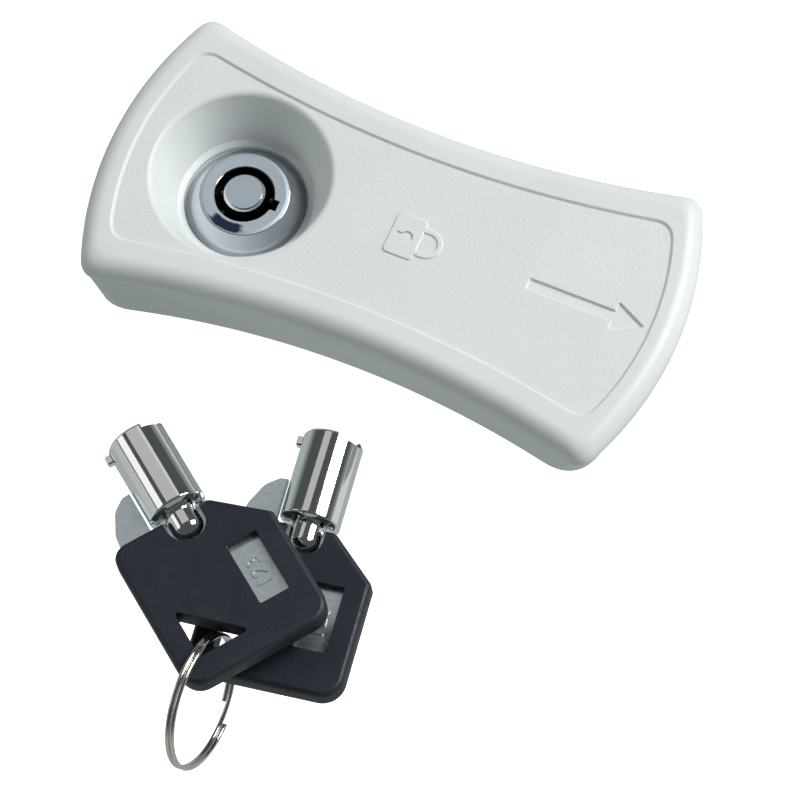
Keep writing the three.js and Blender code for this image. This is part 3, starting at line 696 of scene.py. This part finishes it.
def arrow_cutter():
    """The arrow's groove, its walls drafted and its mouth softened."""
    tail, neck, tip, half, wing = ARROW.values()
    outline = rounded([(tail, -half, 0.1), (neck, -half, 0.28), (neck, -wing, 0.1), (tip, 0, 0.15),
                       (neck, wing, 0.1), (neck, half, 0.28), (tail, half, 0.1)], steps=3)
    levels = [(-0.1, PANEL_Z - 0.45), (0.02, PANEL_Z - 0.36), (0.06, PANEL_Z - 0.12),
              (0.2, PANEL_Z + 0.02), (0.2, PANEL_Z + 1)]
    return stack("arrow", outline, levels)


def padlock_sign():
    """A low raised padlock between the lock and the arrow."""
    x, low, high = SIGN_X, PANEL_Z - 0.4, PANEL_Z + 0.28
    bow_x, bow_r, bow_hole = x + 2.2, 2.5, 1.7
    levels = [(0.12, low), (0.12, PANEL_Z), (0.02, PANEL_Z + 0.12),
              (-0.02, high - 0.06), (-0.12, high)]
    body = stack("sign", box_outline(x - 4, x + 1, -3.6, 3.6, 0.6), levels)
    outside = [(x + 0.5, -bow_r), (bow_x, -bow_r), *arc(bow_x, 0, bow_r, -80, 80, 16),
               (bow_x, bow_r), (x + 0.5, bow_r)]
    inside = [(x + 0.5, bow_hole), (bow_x, bow_hole), *arc(bow_x, 0, bow_hole, 80, -80, 16),
              (bow_x, -bow_hole), (x + 0.5, -bow_hole)]
    join(body, stack("bow", outside + inside, levels))
    keyhole = rod("keyhole", 0.95, PANEL_Z, high + 1, x - 1.2, 0, 32)
    return cut(body, keyhole, block("slit", x - 3.0, x - 1.2, -0.38, 0.38, PANEL_Z, high + 1))


def ribs():
    deep = HANDLE["corner_y"]
    half, top = RIB / 2, TOP_Z - 1
    spine = block("ribs", LOCK_X, HANDLE["corner_x"], -half, half, GASKET, top)
    join(spine, *[block("rib", x - half, x + half, -deep, deep, GASKET, top) for x in RIB_X])
    return common(spine, shell_hollow("inside"))


def shell():
    body = cut(shell_blank(), shell_hollow())
    boss = turned("boss", [(CONE_R + WELL_WALL, GASKET), (MOUTH_R + WELL_WALL, ROOF_Z),
                           (MOUTH_R + WELL_WALL, PANEL_Z - 0.5)], LOCK_X, 0)
    screw_boss = rod("screw_boss", INSERT_R + 2, GASKET, ROOF_Z + 0.5, SCREW_X, 0)
    join(body, boss, screw_boss, ribs(), padlock_sign())
    cut(body, well_cutter(), arrow_cutter(),
        rod("barrel_room", BARREL_R + 0.3, -1, SEAT_Z + 1, LOCK_X, 0),
        rod("insert_room", INSERT_R + 0.1, -1, GASKET + 9, SCREW_X, 0, 48))
    paint(body, [SHELL_SMOOTH, SHELL_GRAIN],
          lambda centre, normal: int(abs(centre.z - PANEL_Z) < 0.02 and normal.z > 0.9))
    smooth(body, 32)
    return piece(body, "handle", "shell_plastic", "handle_shell")


def gasket():
    sheet = plate("gasket", foot(WALL + 0.3), 0, GASKET - 0.02, 0.1)
    cut(sheet, rod("barrel_room", BARREL_R + 0.5, -1, 2, LOCK_X, 0),
        rod("screw_room", SCREW_R + 0.6, -1, 2, SCREW_X, 0, 48))
    smooth(paint(sheet, [RUBBER]))
    return piece(sheet, "handle", "gasket_rubber", "pane_gasket")


# -------------------------------------------------- lock, drawn about its own axis


def at_lock(obj):
    """Puts an object that is drawn about the lock's axis in its place."""
    obj.matrix_world = Matrix.Translation((LOCK_X * MM, 0, 0))
    return obj


def housing_material(centre, normal):
    radius = math.hypot(centre.x, centre.y)
    # index 2 is the near-black painted shade: the chamber below the seat and the keyway walls
    if centre.z < SEAT_Z - 0.05:
        return 3 if radius > CHAMBER_R + 0.2 else 2
    if radius < GROOVE_R + 0.02 and normal.z < 0.7 and radius < FACE_R - 0.5:
        return 2
    return 1 if normal.z > 0.98 else 0


def housing():
    """Bezel with a ground face and a flared skirt, bore with a lug groove, threaded barrel."""
    barrel = threaded("housing", BARREL_R, 0.32, 1.0, BARREL_END_Z, SEAT_Z)
    for side in (1, -1):
        near, far = sorted((side * BARREL_FLAT, side * 2 * BARREL_R))
        cut(barrel, block("flat", near, far, -BARREL_R, BARREL_R, BARREL_END_Z - 1, SEAT_Z - 0.6))
    root = [(BARREL_R - 2, SEAT_Z - 0.48), (BARREL_R - 0.2, SEAT_Z + 0.02),
            (BEZEL_R - 0.12, SEAT_Z + 0.02)]
    skirt = rounded([(BEZEL_R, SEAT_Z + 0.14, 0), (BEZEL_R, SEAT_Z + 0.3, 0.1),
                     (BEZEL_R - 0.25, SEAT_Z + 0.55, 0.3), (FACE_R + 0.02, FACE_Z - 0.1, 0.25),
                     (FACE_R - 0.6, FACE_Z, 0)], closed=False, steps=7)
    join(barrel, turned("bezel", root + skirt, segments=144))
    mouth_r = KEYWAY_R + 0.12
    bore = turned("bore", [(CHAMBER_R, BARREL_END_Z - 1), (CHAMBER_R, KEYWAY_END_Z),
                           (KEYWAY_R, KEYWAY_END_Z), (KEYWAY_R, GROOVE_LOW_Z),
                           (GROOVE_R, GROOVE_LOW_Z), (GROOVE_R, GROOVE_HIGH_Z),
                           (KEYWAY_R, GROOVE_HIGH_Z), (KEYWAY_R, FACE_Z - 0.12),
                           (mouth_r, FACE_Z + 0.001), (mouth_r, FACE_Z + 1)], segments=144)
    half = LUG_NOTCH / 2
    notch = block("notch", KEYWAY_R - 1, GROOVE_R, -half, half, GROOVE_LOW_Z, FACE_Z + 1)
    room = CROSS_PIN_ROOM
    pin_hole = block("pin_hole", -room, room, CHAMBER_R - 1, BARREL_R + 1,
                     CROSS_PIN_Z - room, CROSS_PIN_Z + room)
    cut(barrel, bore, notch, pin_hole)
    paint(barrel, [CHROME, FACE, BORE_PAINTED_SHADE, STEEL], housing_material)
    at_lock(smooth(barrel, 32))
    return piece(barrel, "handle", "lock_chrome", "lock_housing")


def pin_spot(k):
    angle = 2 * math.pi * (k + 0.5) / PINS
    return PIN_CIRCLE_R * math.cos(angle), PIN_CIRCLE_R * math.sin(angle)


def core_material(centre, normal):
    radius = math.hypot(centre.x, centre.y)
    if centre.z > POST_Z - 0.05 and normal.z > 0.98:
        return 1
    if centre.z > FACE_Z - 0.9:
        return 0
    # index 2, the near-black painted shade, goes on the rotor and the post's sides down in the
    # keyway
    return 2 if centre.z > SHEAR_Z - 1 and radius < ROTOR_R + 1 else 3


def core():
    """Post with a faced end and a bright chamfer, the pin disc and the flatted tail shaft."""
    profile = [(SHAFT_R - 0.4, SHAFT_END_Z), (SHAFT_R, SHAFT_END_Z + 0.4), (SHAFT_R, SHEAR_Z + 0.1),
               (ROTOR_R, SHEAR_Z + 0.1), (ROTOR_R, ROTOR_FRONT_Z), (POST_R, ROTOR_FRONT_Z),
               (POST_R, FACE_Z - 0.9), (POST_R, POST_Z - POST_CHAMFER),
               (POST_R - 0.05, POST_Z - POST_CHAMFER + 0.08),
               (POST_R - POST_CHAMFER + 0.08, POST_Z - 0.05), (POST_R - POST_CHAMFER, POST_Z)]
    body = turned("core", profile, segments=128)
    tools = [rod("pin_hole", 0.75, SHEAR_Z - 1, ROTOR_FRONT_Z + 1, *pin_spot(k), 32)
             for k in range(PINS)]
    for side in (1, -1):
        near, far = sorted((side * SHAFT_FLAT, side * 2 * SHAFT_FLAT))
        tools.append(block("flat", -4, 4, near, far, SHAFT_END_Z - 1, BARREL_END_Z))
    cut(body, *tools)
    paint(body, [CHROME, POST_FACE, BORE_PAINTED_SHADE, STEEL], core_material)
    at_lock(smooth(body, 32))
    return piece(body, "turning_core", "lock_chrome", "rotor")


def key_pins():
    for k in range(PINS):
        back = SHEAR_Z + 0.2 + PIN_CUTS[k]
        profile = [(PIN_R - 0.06, back), (PIN_R, back + 0.06), (PIN_R, PIN_FRONT_Z - 0.34),
                   (PIN_R - 0.06, PIN_FRONT_Z - 0.22), (PIN_R - 0.3, PIN_FRONT_Z - 0.02),
                   (PIN_R - 0.4, PIN_FRONT_Z)]
        pin = turned(f"lock_pin_{k + 1}", profile, *pin_spot(k), segments=32)
        at_lock(smooth(paint(pin, [PIN_BRASS]), 40))
        piece(pin, f"key_pin_{k + 1}", "brass", f"key_pin_{k + 1}")


# -------------------------------------------------- hardware on the inside of the pane


def shaft_hole(name, z0, z1):
    gap = 0.12
    hole = rod(name, SHAFT_R + gap, z0, z1, segments=64)
    return common(hole, block("flats", -4, 4, -SHAFT_FLAT - gap, SHAFT_FLAT + gap, z0 - 1, z1 + 1))


def hex_nut(name, across, hole, z0, z1, crown):
    """A hexagon nut, its corners turned off at the far face."""
    blank = prism(name, regular(6, across), z0, z1)
    corner = across / 2 / math.cos(math.pi / 6)
    crowned = turned("crown", [(across / 2 - 0.1, z0), (corner + 0.2, z0 + crown),
                               (corner + 0.2, z1 - crown / 3), (corner - 0.3, z1)], segments=96)
    common(blank, crowned)
    mouth = turned("mouth", [(hole + 0.5, z0 - 0.1), (hole + 0.5, z0), (hole, z0 + 0.5),
                             (hole, z1 - 0.4), (hole + 0.4, z1), (hole + 0.4, z1 + 0.1)],
                   segments=96)
    return cut(blank, mouth)


def moved_to(obj, x):
    return moved(obj, Matrix.Translation((x, 0, 0)))


def inside_hardware():
    z = -PANE - CLAMP
    clamp = washer("clamp_ring", BARREL_R + 0.3, CLAMP_R, z, -PANE, LOCK_X)
    smooth(paint(clamp, [STEEL]))
    piece(clamp, "handle", "hardware_steel", "clamp_washer")

    top = z - STACK_GAP
    star = []
    for k in range(10):
        for angle, r in ((-11, 10.1), (-5, 10.95), (5, 10.95), (11, 10.1)):
            a = math.radians(36 * k + angle)
            star.append((r * math.cos(a), r * math.sin(a)))
    teeth = plate("tooth_ring", star, top - TOOTH, top, 0.1)
    cut(teeth, rod("hole", BARREL_R + 0.2, top - 2, top + 1))
    moved_to(smooth(paint(teeth, [STEEL])), LOCK_X)
    piece(teeth, "handle", "hardware_steel", "tooth_washer")

    top -= TOOTH + STACK_GAP
    nut = moved_to(hex_nut("barrel_nut", 21, BARREL_R + 0.1, top - LOCK_NUT, top, 1.2), LOCK_X)
    piece(smooth(paint(nut, [BRASS])), "handle", "brass", "lock_nut")

    r_in, low, high = SCREW_R + 0.1, INSERT_LOW_Z, INSERT_HIGH_Z
    tube = rounded([(r_in, low, 0.1), (INSERT_R, low, 0.1), (INSERT_R, high, 0.1),
                    (r_in, high, 0.1)], steps=2)
    insert = turned("insert", tube, SCREW_X, 0, 64, wrap=True)
    piece(smooth(paint(insert, [BRASS])), "handle", "brass", "threaded_insert")

    flat = washer("screw_ring", SCREW_R + 0.3, 7, -PANE - SCREW_WASHER, -PANE, SCREW_X)
    smooth(paint(flat, [STEEL]))
    piece(flat, "handle", "hardware_steel", "screw_washer")
    piece(screw(), "handle", "hardware_steel", "fixing_screw")


def screw():
    """Pan-head screw with a cross recess and a cut thread."""
    seat = -PANE - SCREW_WASHER - STACK_GAP
    end = GASKET + 8
    body = threaded("pan_screw", SCREW_R, 0.22, 0.7, seat - 0.5, end, 48)
    head = rounded([(3.9, seat, 0), (4.0, seat - 0.1, 0.05), (4.0, seat - 1.5, 1.0),
                    (2.9, seat - 2.75, 1.2), (0.3, seat - 3.0, 0)], closed=False, steps=6)
    join(body, turned("pan", head, segments=64))
    for dx, dy in ((2.3, 0.42), (0.42, 2.3)):
        arm = loft("arm", [(box_outline(-dx * 0.5, dx * 0.5, -dy * 0.5, dy * 0.5), seat - 1.3),
                           (box_outline(-dx, dx, -dy, dy), seat - 3.2)])
        cut(body, arm)
    return smooth(paint(moved_to(body, SCREW_X), [STEEL]), 35)


def cam_parts():
    """The cam, its stop disc, spring washer and nut, which turn with the core."""
    z = BARREL_END_Z
    stop = rod("stop_disc", CHAMBER_R - 0.25, z - 1.3, z - 0.3)
    tab = [(0, 0), *arc(0, 0, BARREL_R - 0.1, -28, 28, 16)]
    join(stop, prism("tab", tab, z - 1.3, z - 0.3))
    cut(stop, shaft_hole("hole", z - 3, z + 1))
    at_lock(smooth(paint(stop, [STEEL])))
    piece(stop, "turning_core", "hardware_steel", "stop_washer")

    top = z - 1.4
    hub = arc(0, 0, CAM_HUB_R, 95, 265, 34)
    tip = arc(CAM_TIP_X, 0, CAM_TIP_R, -85, 85, 34)
    arm = plate("cam_arm", hub + tip, top - CAM, top, 0.2)
    cut(arm, shaft_hole("hole", top - 4, top + 1))
    at_lock(smooth(paint(arm, [STEEL])))
    piece(arm, "turning_core", "hardware_steel", "cam")

    top -= CAM + 0.1
    spring = washer("cam_spring", SHAFT_R + 0.2, 4.6, top - 0.9, top, edge=0.2)
    cut(spring, block("split", 0, 9, -0.4, 0.4, top - 2, top + 1))
    at_lock(smooth(paint(spring, [STEEL])))
    piece(spring, "turning_core", "hardware_steel", "cam_spring_washer")

    nut = hex_nut("shaft_nut", 9, SHAFT_R + 0.1, top - 1 - CAM_NUT, top - 1, 0.7)
    at_lock(smooth(paint(nut, [STEEL])))
    piece(nut, "turning_core", "hardware_steel", "cam_nut")


def kept_nodes():
    """Inner parts whose CAD shape is right keep it and get a finish."""
    for name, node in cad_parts.items():
        if node.hide_render:
            continue
        finish = BRASS if name == "pin_sleeve" else STEEL
        node.data.materials.clear()
        node.data.materials.append(finish)


# -------------------------------------------------- keys, drawn with the tube along +X


def key_matrix(pose):
    turn = Matrix.Rotation(math.radians(pose["heading"]), 4, "Z")
    turn @= Matrix.Rotation(math.radians(-pose["pitch"]), 4, "Y")
    turn @= Matrix.Rotation(math.radians(pose["roll"]), 4, "X")
    return Matrix.Translation(Vector((pose["x"], pose["y"], pose["z"])) * MM) @ turn


def key_barrel(name):
    """Mirror-plated tube with a slotted lip, a lug, a collar and a domed neck."""
    tip, shoulder, dome = KEY_TIP, KEY_TUBE, KEY_NECK_END - KEY_DOME
    profile = rounded([
        (0.4, KEY_BORE, 0), (KEY_BORE_R, KEY_BORE, 0), (KEY_BORE_R, tip + 0.25, 0),
        (KEY_BORE_R + 0.2, tip, 0), (KEY_TUBE_R - 0.3, tip, 0.1), (KEY_TUBE_R, tip + 0.35, 0.3),
        (KEY_TUBE_R, shoulder - 0.5, 0.35), (KEY_TUBE_R - 0.75, shoulder - 0.02, 0.1),
        (KEY_NECK_R + 0.25, shoulder, 0.1), (KEY_NECK_R, shoulder + 0.3, 0.2),
        (KEY_NECK_R, dome, 0)], closed=False, steps=8)
    for k in range(1, 14):
        angle = math.pi / 2 * (1 - k / 14)
        height = KEY_NECK_END - KEY_DOME * (1 - math.cos(angle))
        profile.append((KEY_NECK_R * math.sin(angle), height))
    tube = turned(name, profile, segments=144)
    wedge = [(0, 0), *arc(0, 0, 2 * KEY_TUBE_R, TIP_SLOT[0] + 90, TIP_SLOT[1] + 90, 12)]
    cut(tube, prism("tip_slot", wedge, tip - 1, tip + TIP_SLOT_DEPTH))
    moved(tube, Matrix.Rotation(math.pi / 2, 4, "Y"))
    start, stop, high, half = KEY_LUG.values()
    lug = box_outline(start, stop, -KEY_TUBE_R - high, -KEY_BORE_R - 0.2, 0.2)
    join(tube, plate("lug", lug, -half, half, 0.2))
    gap = BLADE / 2 + 0.05
    cut(tube, block("fork", shoulder + 0.4, HEAD_BOW, -KEY_TUBE_R, KEY_TUBE_R, -gap, gap))
    return smooth(paint(tube, [KEY_CHROME]), 30)


def key_blade(name):
    """Pressed steel sheet: the fin beside the tube and the plate that shows in the window."""
    outline = rounded([
        (KEY_TUBE + 0.5, -5.1, 0), (KEY_TUBE + 0.5, 4.4, 0.2), (18.6, 4.4, 0.5), (24, 9.6, 0.3),
        (37, 9.6, 0.3), (37, 2.2, 0.3), (28, 0, 0.3), (28, -10.2, 0.3), (17.5, -10.6, 0.3),
        (13.8, -10.2, 2.6), (10.2, -8.4, 2.4), (8.7, -6.4, 0.9), (8.6, -5.1, 0)], steps=8)[::-1]
    blade = plate(name, outline, -BLADE / 2, BLADE / 2, 0.1)
    join(blade, digits(1), digits(-1))
    return smooth(paint(blade, [KEY_STEEL, PLATE_STEEL], lambda centre, normal: int(centre.x > 24)))


def digits(side):
    """Plain stamped numbers, raised from one face of the plate in the window."""
    font = bpy.data.curves.new("digits", "FONT")
    font.body = "123"
    font.size = 3.4 * MM
    font.extrude = 0.2 * MM
    font.offset = 0.03 * MM
    font.resolution_u = 4
    font.align_x, font.align_y = "CENTER", "CENTER"
    font.space_character = 1.15
    obj = bpy.data.objects.new("digits", font)
    bpy.context.scene.collection.objects.link(obj)
    bpy.context.view_layer.update()
    mesh = bpy.data.meshes.new_from_object(obj)
    bpy.data.objects.remove(obj)
    work = bmesh.new()
    work.from_mesh(mesh)
    bmesh.ops.remove_doubles(work, verts=work.verts, dist=1e-7)
    bmesh.ops.recalc_face_normals(work, faces=work.faces)
    work.to_mesh(mesh)
    work.free()
    text = bpy.data.objects.new("digits", mesh)
    bpy.context.scene.collection.objects.link(text)
    place = Matrix.Translation((30.3, 5.95, side * BLADE / 2)) @ Matrix.Rotation(math.pi, 4, "Z")
    if side < 0:
        place = place @ Matrix.Rotation(math.pi, 4, "X")
    return moved(text, place)


def key_head(name):
    """Flat black bow, one corner cut off, with a window, a ring hole and room for the neck."""
    bow, shoulder, half = HEAD_BOW, HEAD_SHOULDER, HEAD_HALF
    outline = rounded([
        (shoulder, -half, 2.6), (bow, -half, 3.2), (bow, half, 3.6), (shoulder + 7, half, 1.0),
        (shoulder + 0.3, 5.0, 1.0), (shoulder, 4.4, 0.3)], steps=10)
    back = -HEAD / 2
    rim = [(-0.75, back), (-0.5, back + 0.06), (-0.22, back + 0.26), (0.0, back + 0.7)]
    levels = rim + [(grow, -z) for grow, z in reversed(rim)]
    body = stack(name, outline, levels)
    room = BLADE / 2 + 0.1
    slot = prism("slot", [(shoulder - 2, 4.7), (shoulder - 2, -10.9), (17.5, -10.9),
                          (28.2, -10.5), (28.2, -0.2), (37.2, 2), (37.2, 9.8), (24, 9.8),
                          (18.4, 4.7)], -room, room)
    x0, x1, y0, y1 = RING_HOLE.values()
    triangle = rounded([(x0, y0, 0.3), (x1, y0, 0.3), (x1, y1, 0.3)], steps=4)
    cut(body, slot, through("neck_room", neck_outline()),
        through("window", box_outline(*WINDOW.values(), 0.25), 0.08),
        through("ring_hole", triangle, 0.12))
    return smooth(paint(body, [HEAD_PLASTIC]), 30)


def neck_outline():
    """A U round the tube's neck, open towards the tube."""
    r, end = KEY_NECK_R + 0.5, KEY_NECK_END - KEY_NECK_R
    return [(HEAD_SHOULDER - 3, -r), *arc(end, 0, r, -90, 90, 20), (HEAD_SHOULDER - 3, r)]


def through(name, outline, lip=0.2):
    """A cutter through the whole head whose mouths flare in a small round."""
    top = HEAD / 2
    flare = [(lip, top + 1), (lip, top), (0.4 * lip, top - 0.35 * lip), (0, top - lip)]
    return stack(name, outline, flare + [(grow, -z) for grow, z in reversed(flare)])


def keys():
    for k, pose in enumerate(KEY_POSES):
        n = k + 1
        parts = ((key_barrel(f"key_{n}_tube"), "key_chrome", f"key_{n}_barrel"),
                 (key_blade(f"key_{n}_sheet"), "key_steel", f"key_{n}_blade"),
                 (key_head(f"key_{n}_bow"), "key_plastic", f"key_{n}_head"))
        for part, slot, node in parts:
            part.matrix_world = key_matrix(pose)
            piece(part, f"key_{n}", slot, node)


def split_ring():
    """Two coils of round wire, their ends cut square."""
    steps, sides = 340, 16
    length = RING_PITCH * RING_TURNS
    rings = []
    for i in range(steps + 1):
        share = i / steps
        angle = math.radians(RING_START) + 2 * math.pi * RING_TURNS * share
        out = Vector((math.cos(angle), math.sin(angle), 0))
        centre = out * RING_R + Vector((0, 0, length * (share - 0.5)))
        ring = []
        for k in range(sides):
            a = 2 * math.pi * k / sides
            across = out * RING_WIRE_R * math.cos(a)
            ring.append(tuple(centre + across + Vector((0, 0, RING_WIRE_R * math.sin(a)))))
        rings.append(ring)
    ring = smooth(paint(skin("split_ring", rings), [NICKEL]), 40)
    place = Matrix.Rotation(math.radians(RING_POSE["heading"]), 4, "Z")
    place @= Matrix.Rotation(math.radians(-RING_POSE["tilt"]), 4, "Y")
    spot = Vector((RING_POSE["x"], RING_POSE["y"], RING_POSE["z"]))
    ring.matrix_world = Matrix.Translation(spot * MM) @ place
    return piece(ring, "key_ring", "ring_nickel", "key_ring")


# -------------------------------------------------- studio


def camera():
    """Long lens from above the near long side, turned slightly about its own axis."""
    elevation, azimuth, roll = 1.1655, 0.50802, -0.10229
    distance, right_shift, up_shift = 630.076, 1.477, -26.793
    level = Vector((math.cos(azimuth), math.sin(azimuth), 0))
    away = Vector((math.sin(azimuth), -math.cos(azimuth), 0))
    back = away * math.cos(elevation) + Vector((0, 0, math.sin(elevation)))
    over = back.cross(level)
    right = level * math.cos(roll) + over * math.sin(roll)
    up = over * math.cos(roll) - level * math.sin(roll)
    lens = bpy.data.cameras.new("camera")
    lens.sensor_width = 36
    lens.lens = 180.045
    lens.clip_start, lens.clip_end = 0.01, 20
    eye = bpy.data.objects.new("camera", lens)
    place = Matrix((right, up, back)).transposed().to_4x4()
    spot = Vector((0, 0, TOP_Z)) + back * distance + right * right_shift + up * up_shift
    place.translation = spot * MM
    eye.matrix_world = place
    bpy.context.scene.collection.objects.link(eye)
    bpy.context.scene.camera = eye


def softbox(name, direction, distance, size, power):
    """A rectangular area light that faces the object."""
    light = bpy.data.lights.new(name, "AREA")
    light.shape = "RECTANGLE"
    light.size, light.size_y = size
    light.energy = power
    obj = bpy.data.objects.new(name, light)
    aim = Vector(direction).normalized()
    obj.location = aim * distance
    obj.rotation_mode = "QUATERNION"
    obj.rotation_quaternion = aim.to_track_quat("Z", "Y")
    bpy.context.scene.collection.objects.link(obj)
    return obj


def glowing(name, color, strength):
    made = Finish(name, color, 0.7)
    made.shader.inputs["Emission Color"].default_value = (1, 1, 1, 1)
    made.shader.inputs["Emission Strength"].default_value = strength
    return made


def card(name, azimuth, elevation, wide, tall, brightness):
    """A reflector panel that only mirrors see; its place and size are angles in degrees."""
    reach = 1500.0
    half_x, half_y = (reach * math.tan(math.radians(angle) / 2) for angle in (wide, tall))
    panel = loft(name, [(box_outline(-half_x, half_x, -half_y, half_y), z) for z in (0.0, 5.0)])
    a, e = math.radians(azimuth), math.radians(elevation)
    aim = Vector((math.cos(a) * math.cos(e), math.sin(a) * math.cos(e), math.sin(e)))
    panel.rotation_mode = "QUATERNION"
    panel.rotation_quaternion = aim.to_track_quat("Z", "Y")
    panel.location = aim * reach * MM
    paint(panel, [glowing(name, (0, 0, 0), brightness).material])
    panel.visible_camera = panel.visible_diffuse = panel.visible_shadow = False
    panel.visible_transmission = False


def surroundings():
    """Dim room, paler towards the ground, and white where the camera looks past the floor."""
    world = bpy.data.worlds.new("studio")
    world.use_nodes = True
    nodes, links = world.node_tree.nodes, world.node_tree.links
    parts = nodes.new("ShaderNodeSeparateXYZ")
    links.new(nodes.new("ShaderNodeTexCoord").outputs["Generated"], parts.inputs[0])
    height = nodes.new("ShaderNodeMapRange")
    height.inputs["From Min"].default_value = -0.15
    height.inputs["From Max"].default_value = 0.3
    links.new(parts.outputs["Z"], height.inputs["Value"])
    sky = nodes.new("ShaderNodeMix")
    sky.data_type = "RGBA"
    sky.inputs[6].default_value = (0.40, 0.45, 0.425, 1)
    sky.inputs[7].default_value = (0.075, 0.082, 0.08, 1)
    links.new(height.outputs["Result"], sky.inputs[0])
    backdrop = nodes.new("ShaderNodeMix")
    backdrop.data_type = "RGBA"
    backdrop.inputs[7].default_value = (1, 1, 1, 1)
    links.new(nodes.new("ShaderNodeLightPath").outputs["Is Camera Ray"], backdrop.inputs[0])
    links.new(sky.outputs[2], backdrop.inputs[6])
    links.new(backdrop.outputs[2], nodes["Background"].inputs["Color"])
    bpy.context.scene.world = world


def studio():
    """One soft key light from beyond the arrow, reflectors for the mirror parts, a pale floor."""
    surroundings()
    softbox("key_light", (0.49, 0.49, 0.72), 1.3, (0.7, 0.7), 17.0)
    fills = (("lock_end_fill", (-0.85, -0.1, 0.5), 5.0), ("arrow_end_fill", (0.9, -0.3, 0.3), 3.2))
    for name, direction, power in fills:
        softbox(name, direction, 1.5, (1.0, 0.7), power).visible_glossy = False
    card("near_reflector", -157, 30, 35, 22, 1.0)
    card("far_panel", 143, 60, 48, 18, 0.48)
    card("far_strip", 107, 53, 10, 6, 0.66)
    card("low_near", -155, 0, 30, 30, 0.5)
    card("low_right", 32, -16, 16, 34, 0.65)
    bpy.context.scene.view_settings.view_transform = "Standard"

    ground = box_outline(-3000, 3000, -3000, 3000)
    floor = loft("floor", [(ground, FLOOR_Z - 10), (ground, FLOOR_Z)])
    pale = glowing("pale_floor", (0.9, 0.9, 0.9), 1.0)
    cloud = pale.fit(pale.noise(180.0, 2.0), 0.3, 0.7, 0, 1)
    pale.color(pale.blend(cloud, (0.9, 0.9, 0.9), (0.92, 0.92, 0.92)))
    paint(floor, [pale.material])
    floor.visible_diffuse = floor.visible_glossy = False


shell()
gasket()
housing()
core()
key_pins()
inside_hardware()
cam_parts()
keys()
split_ring()
kept_nodes()
camera()
studio()
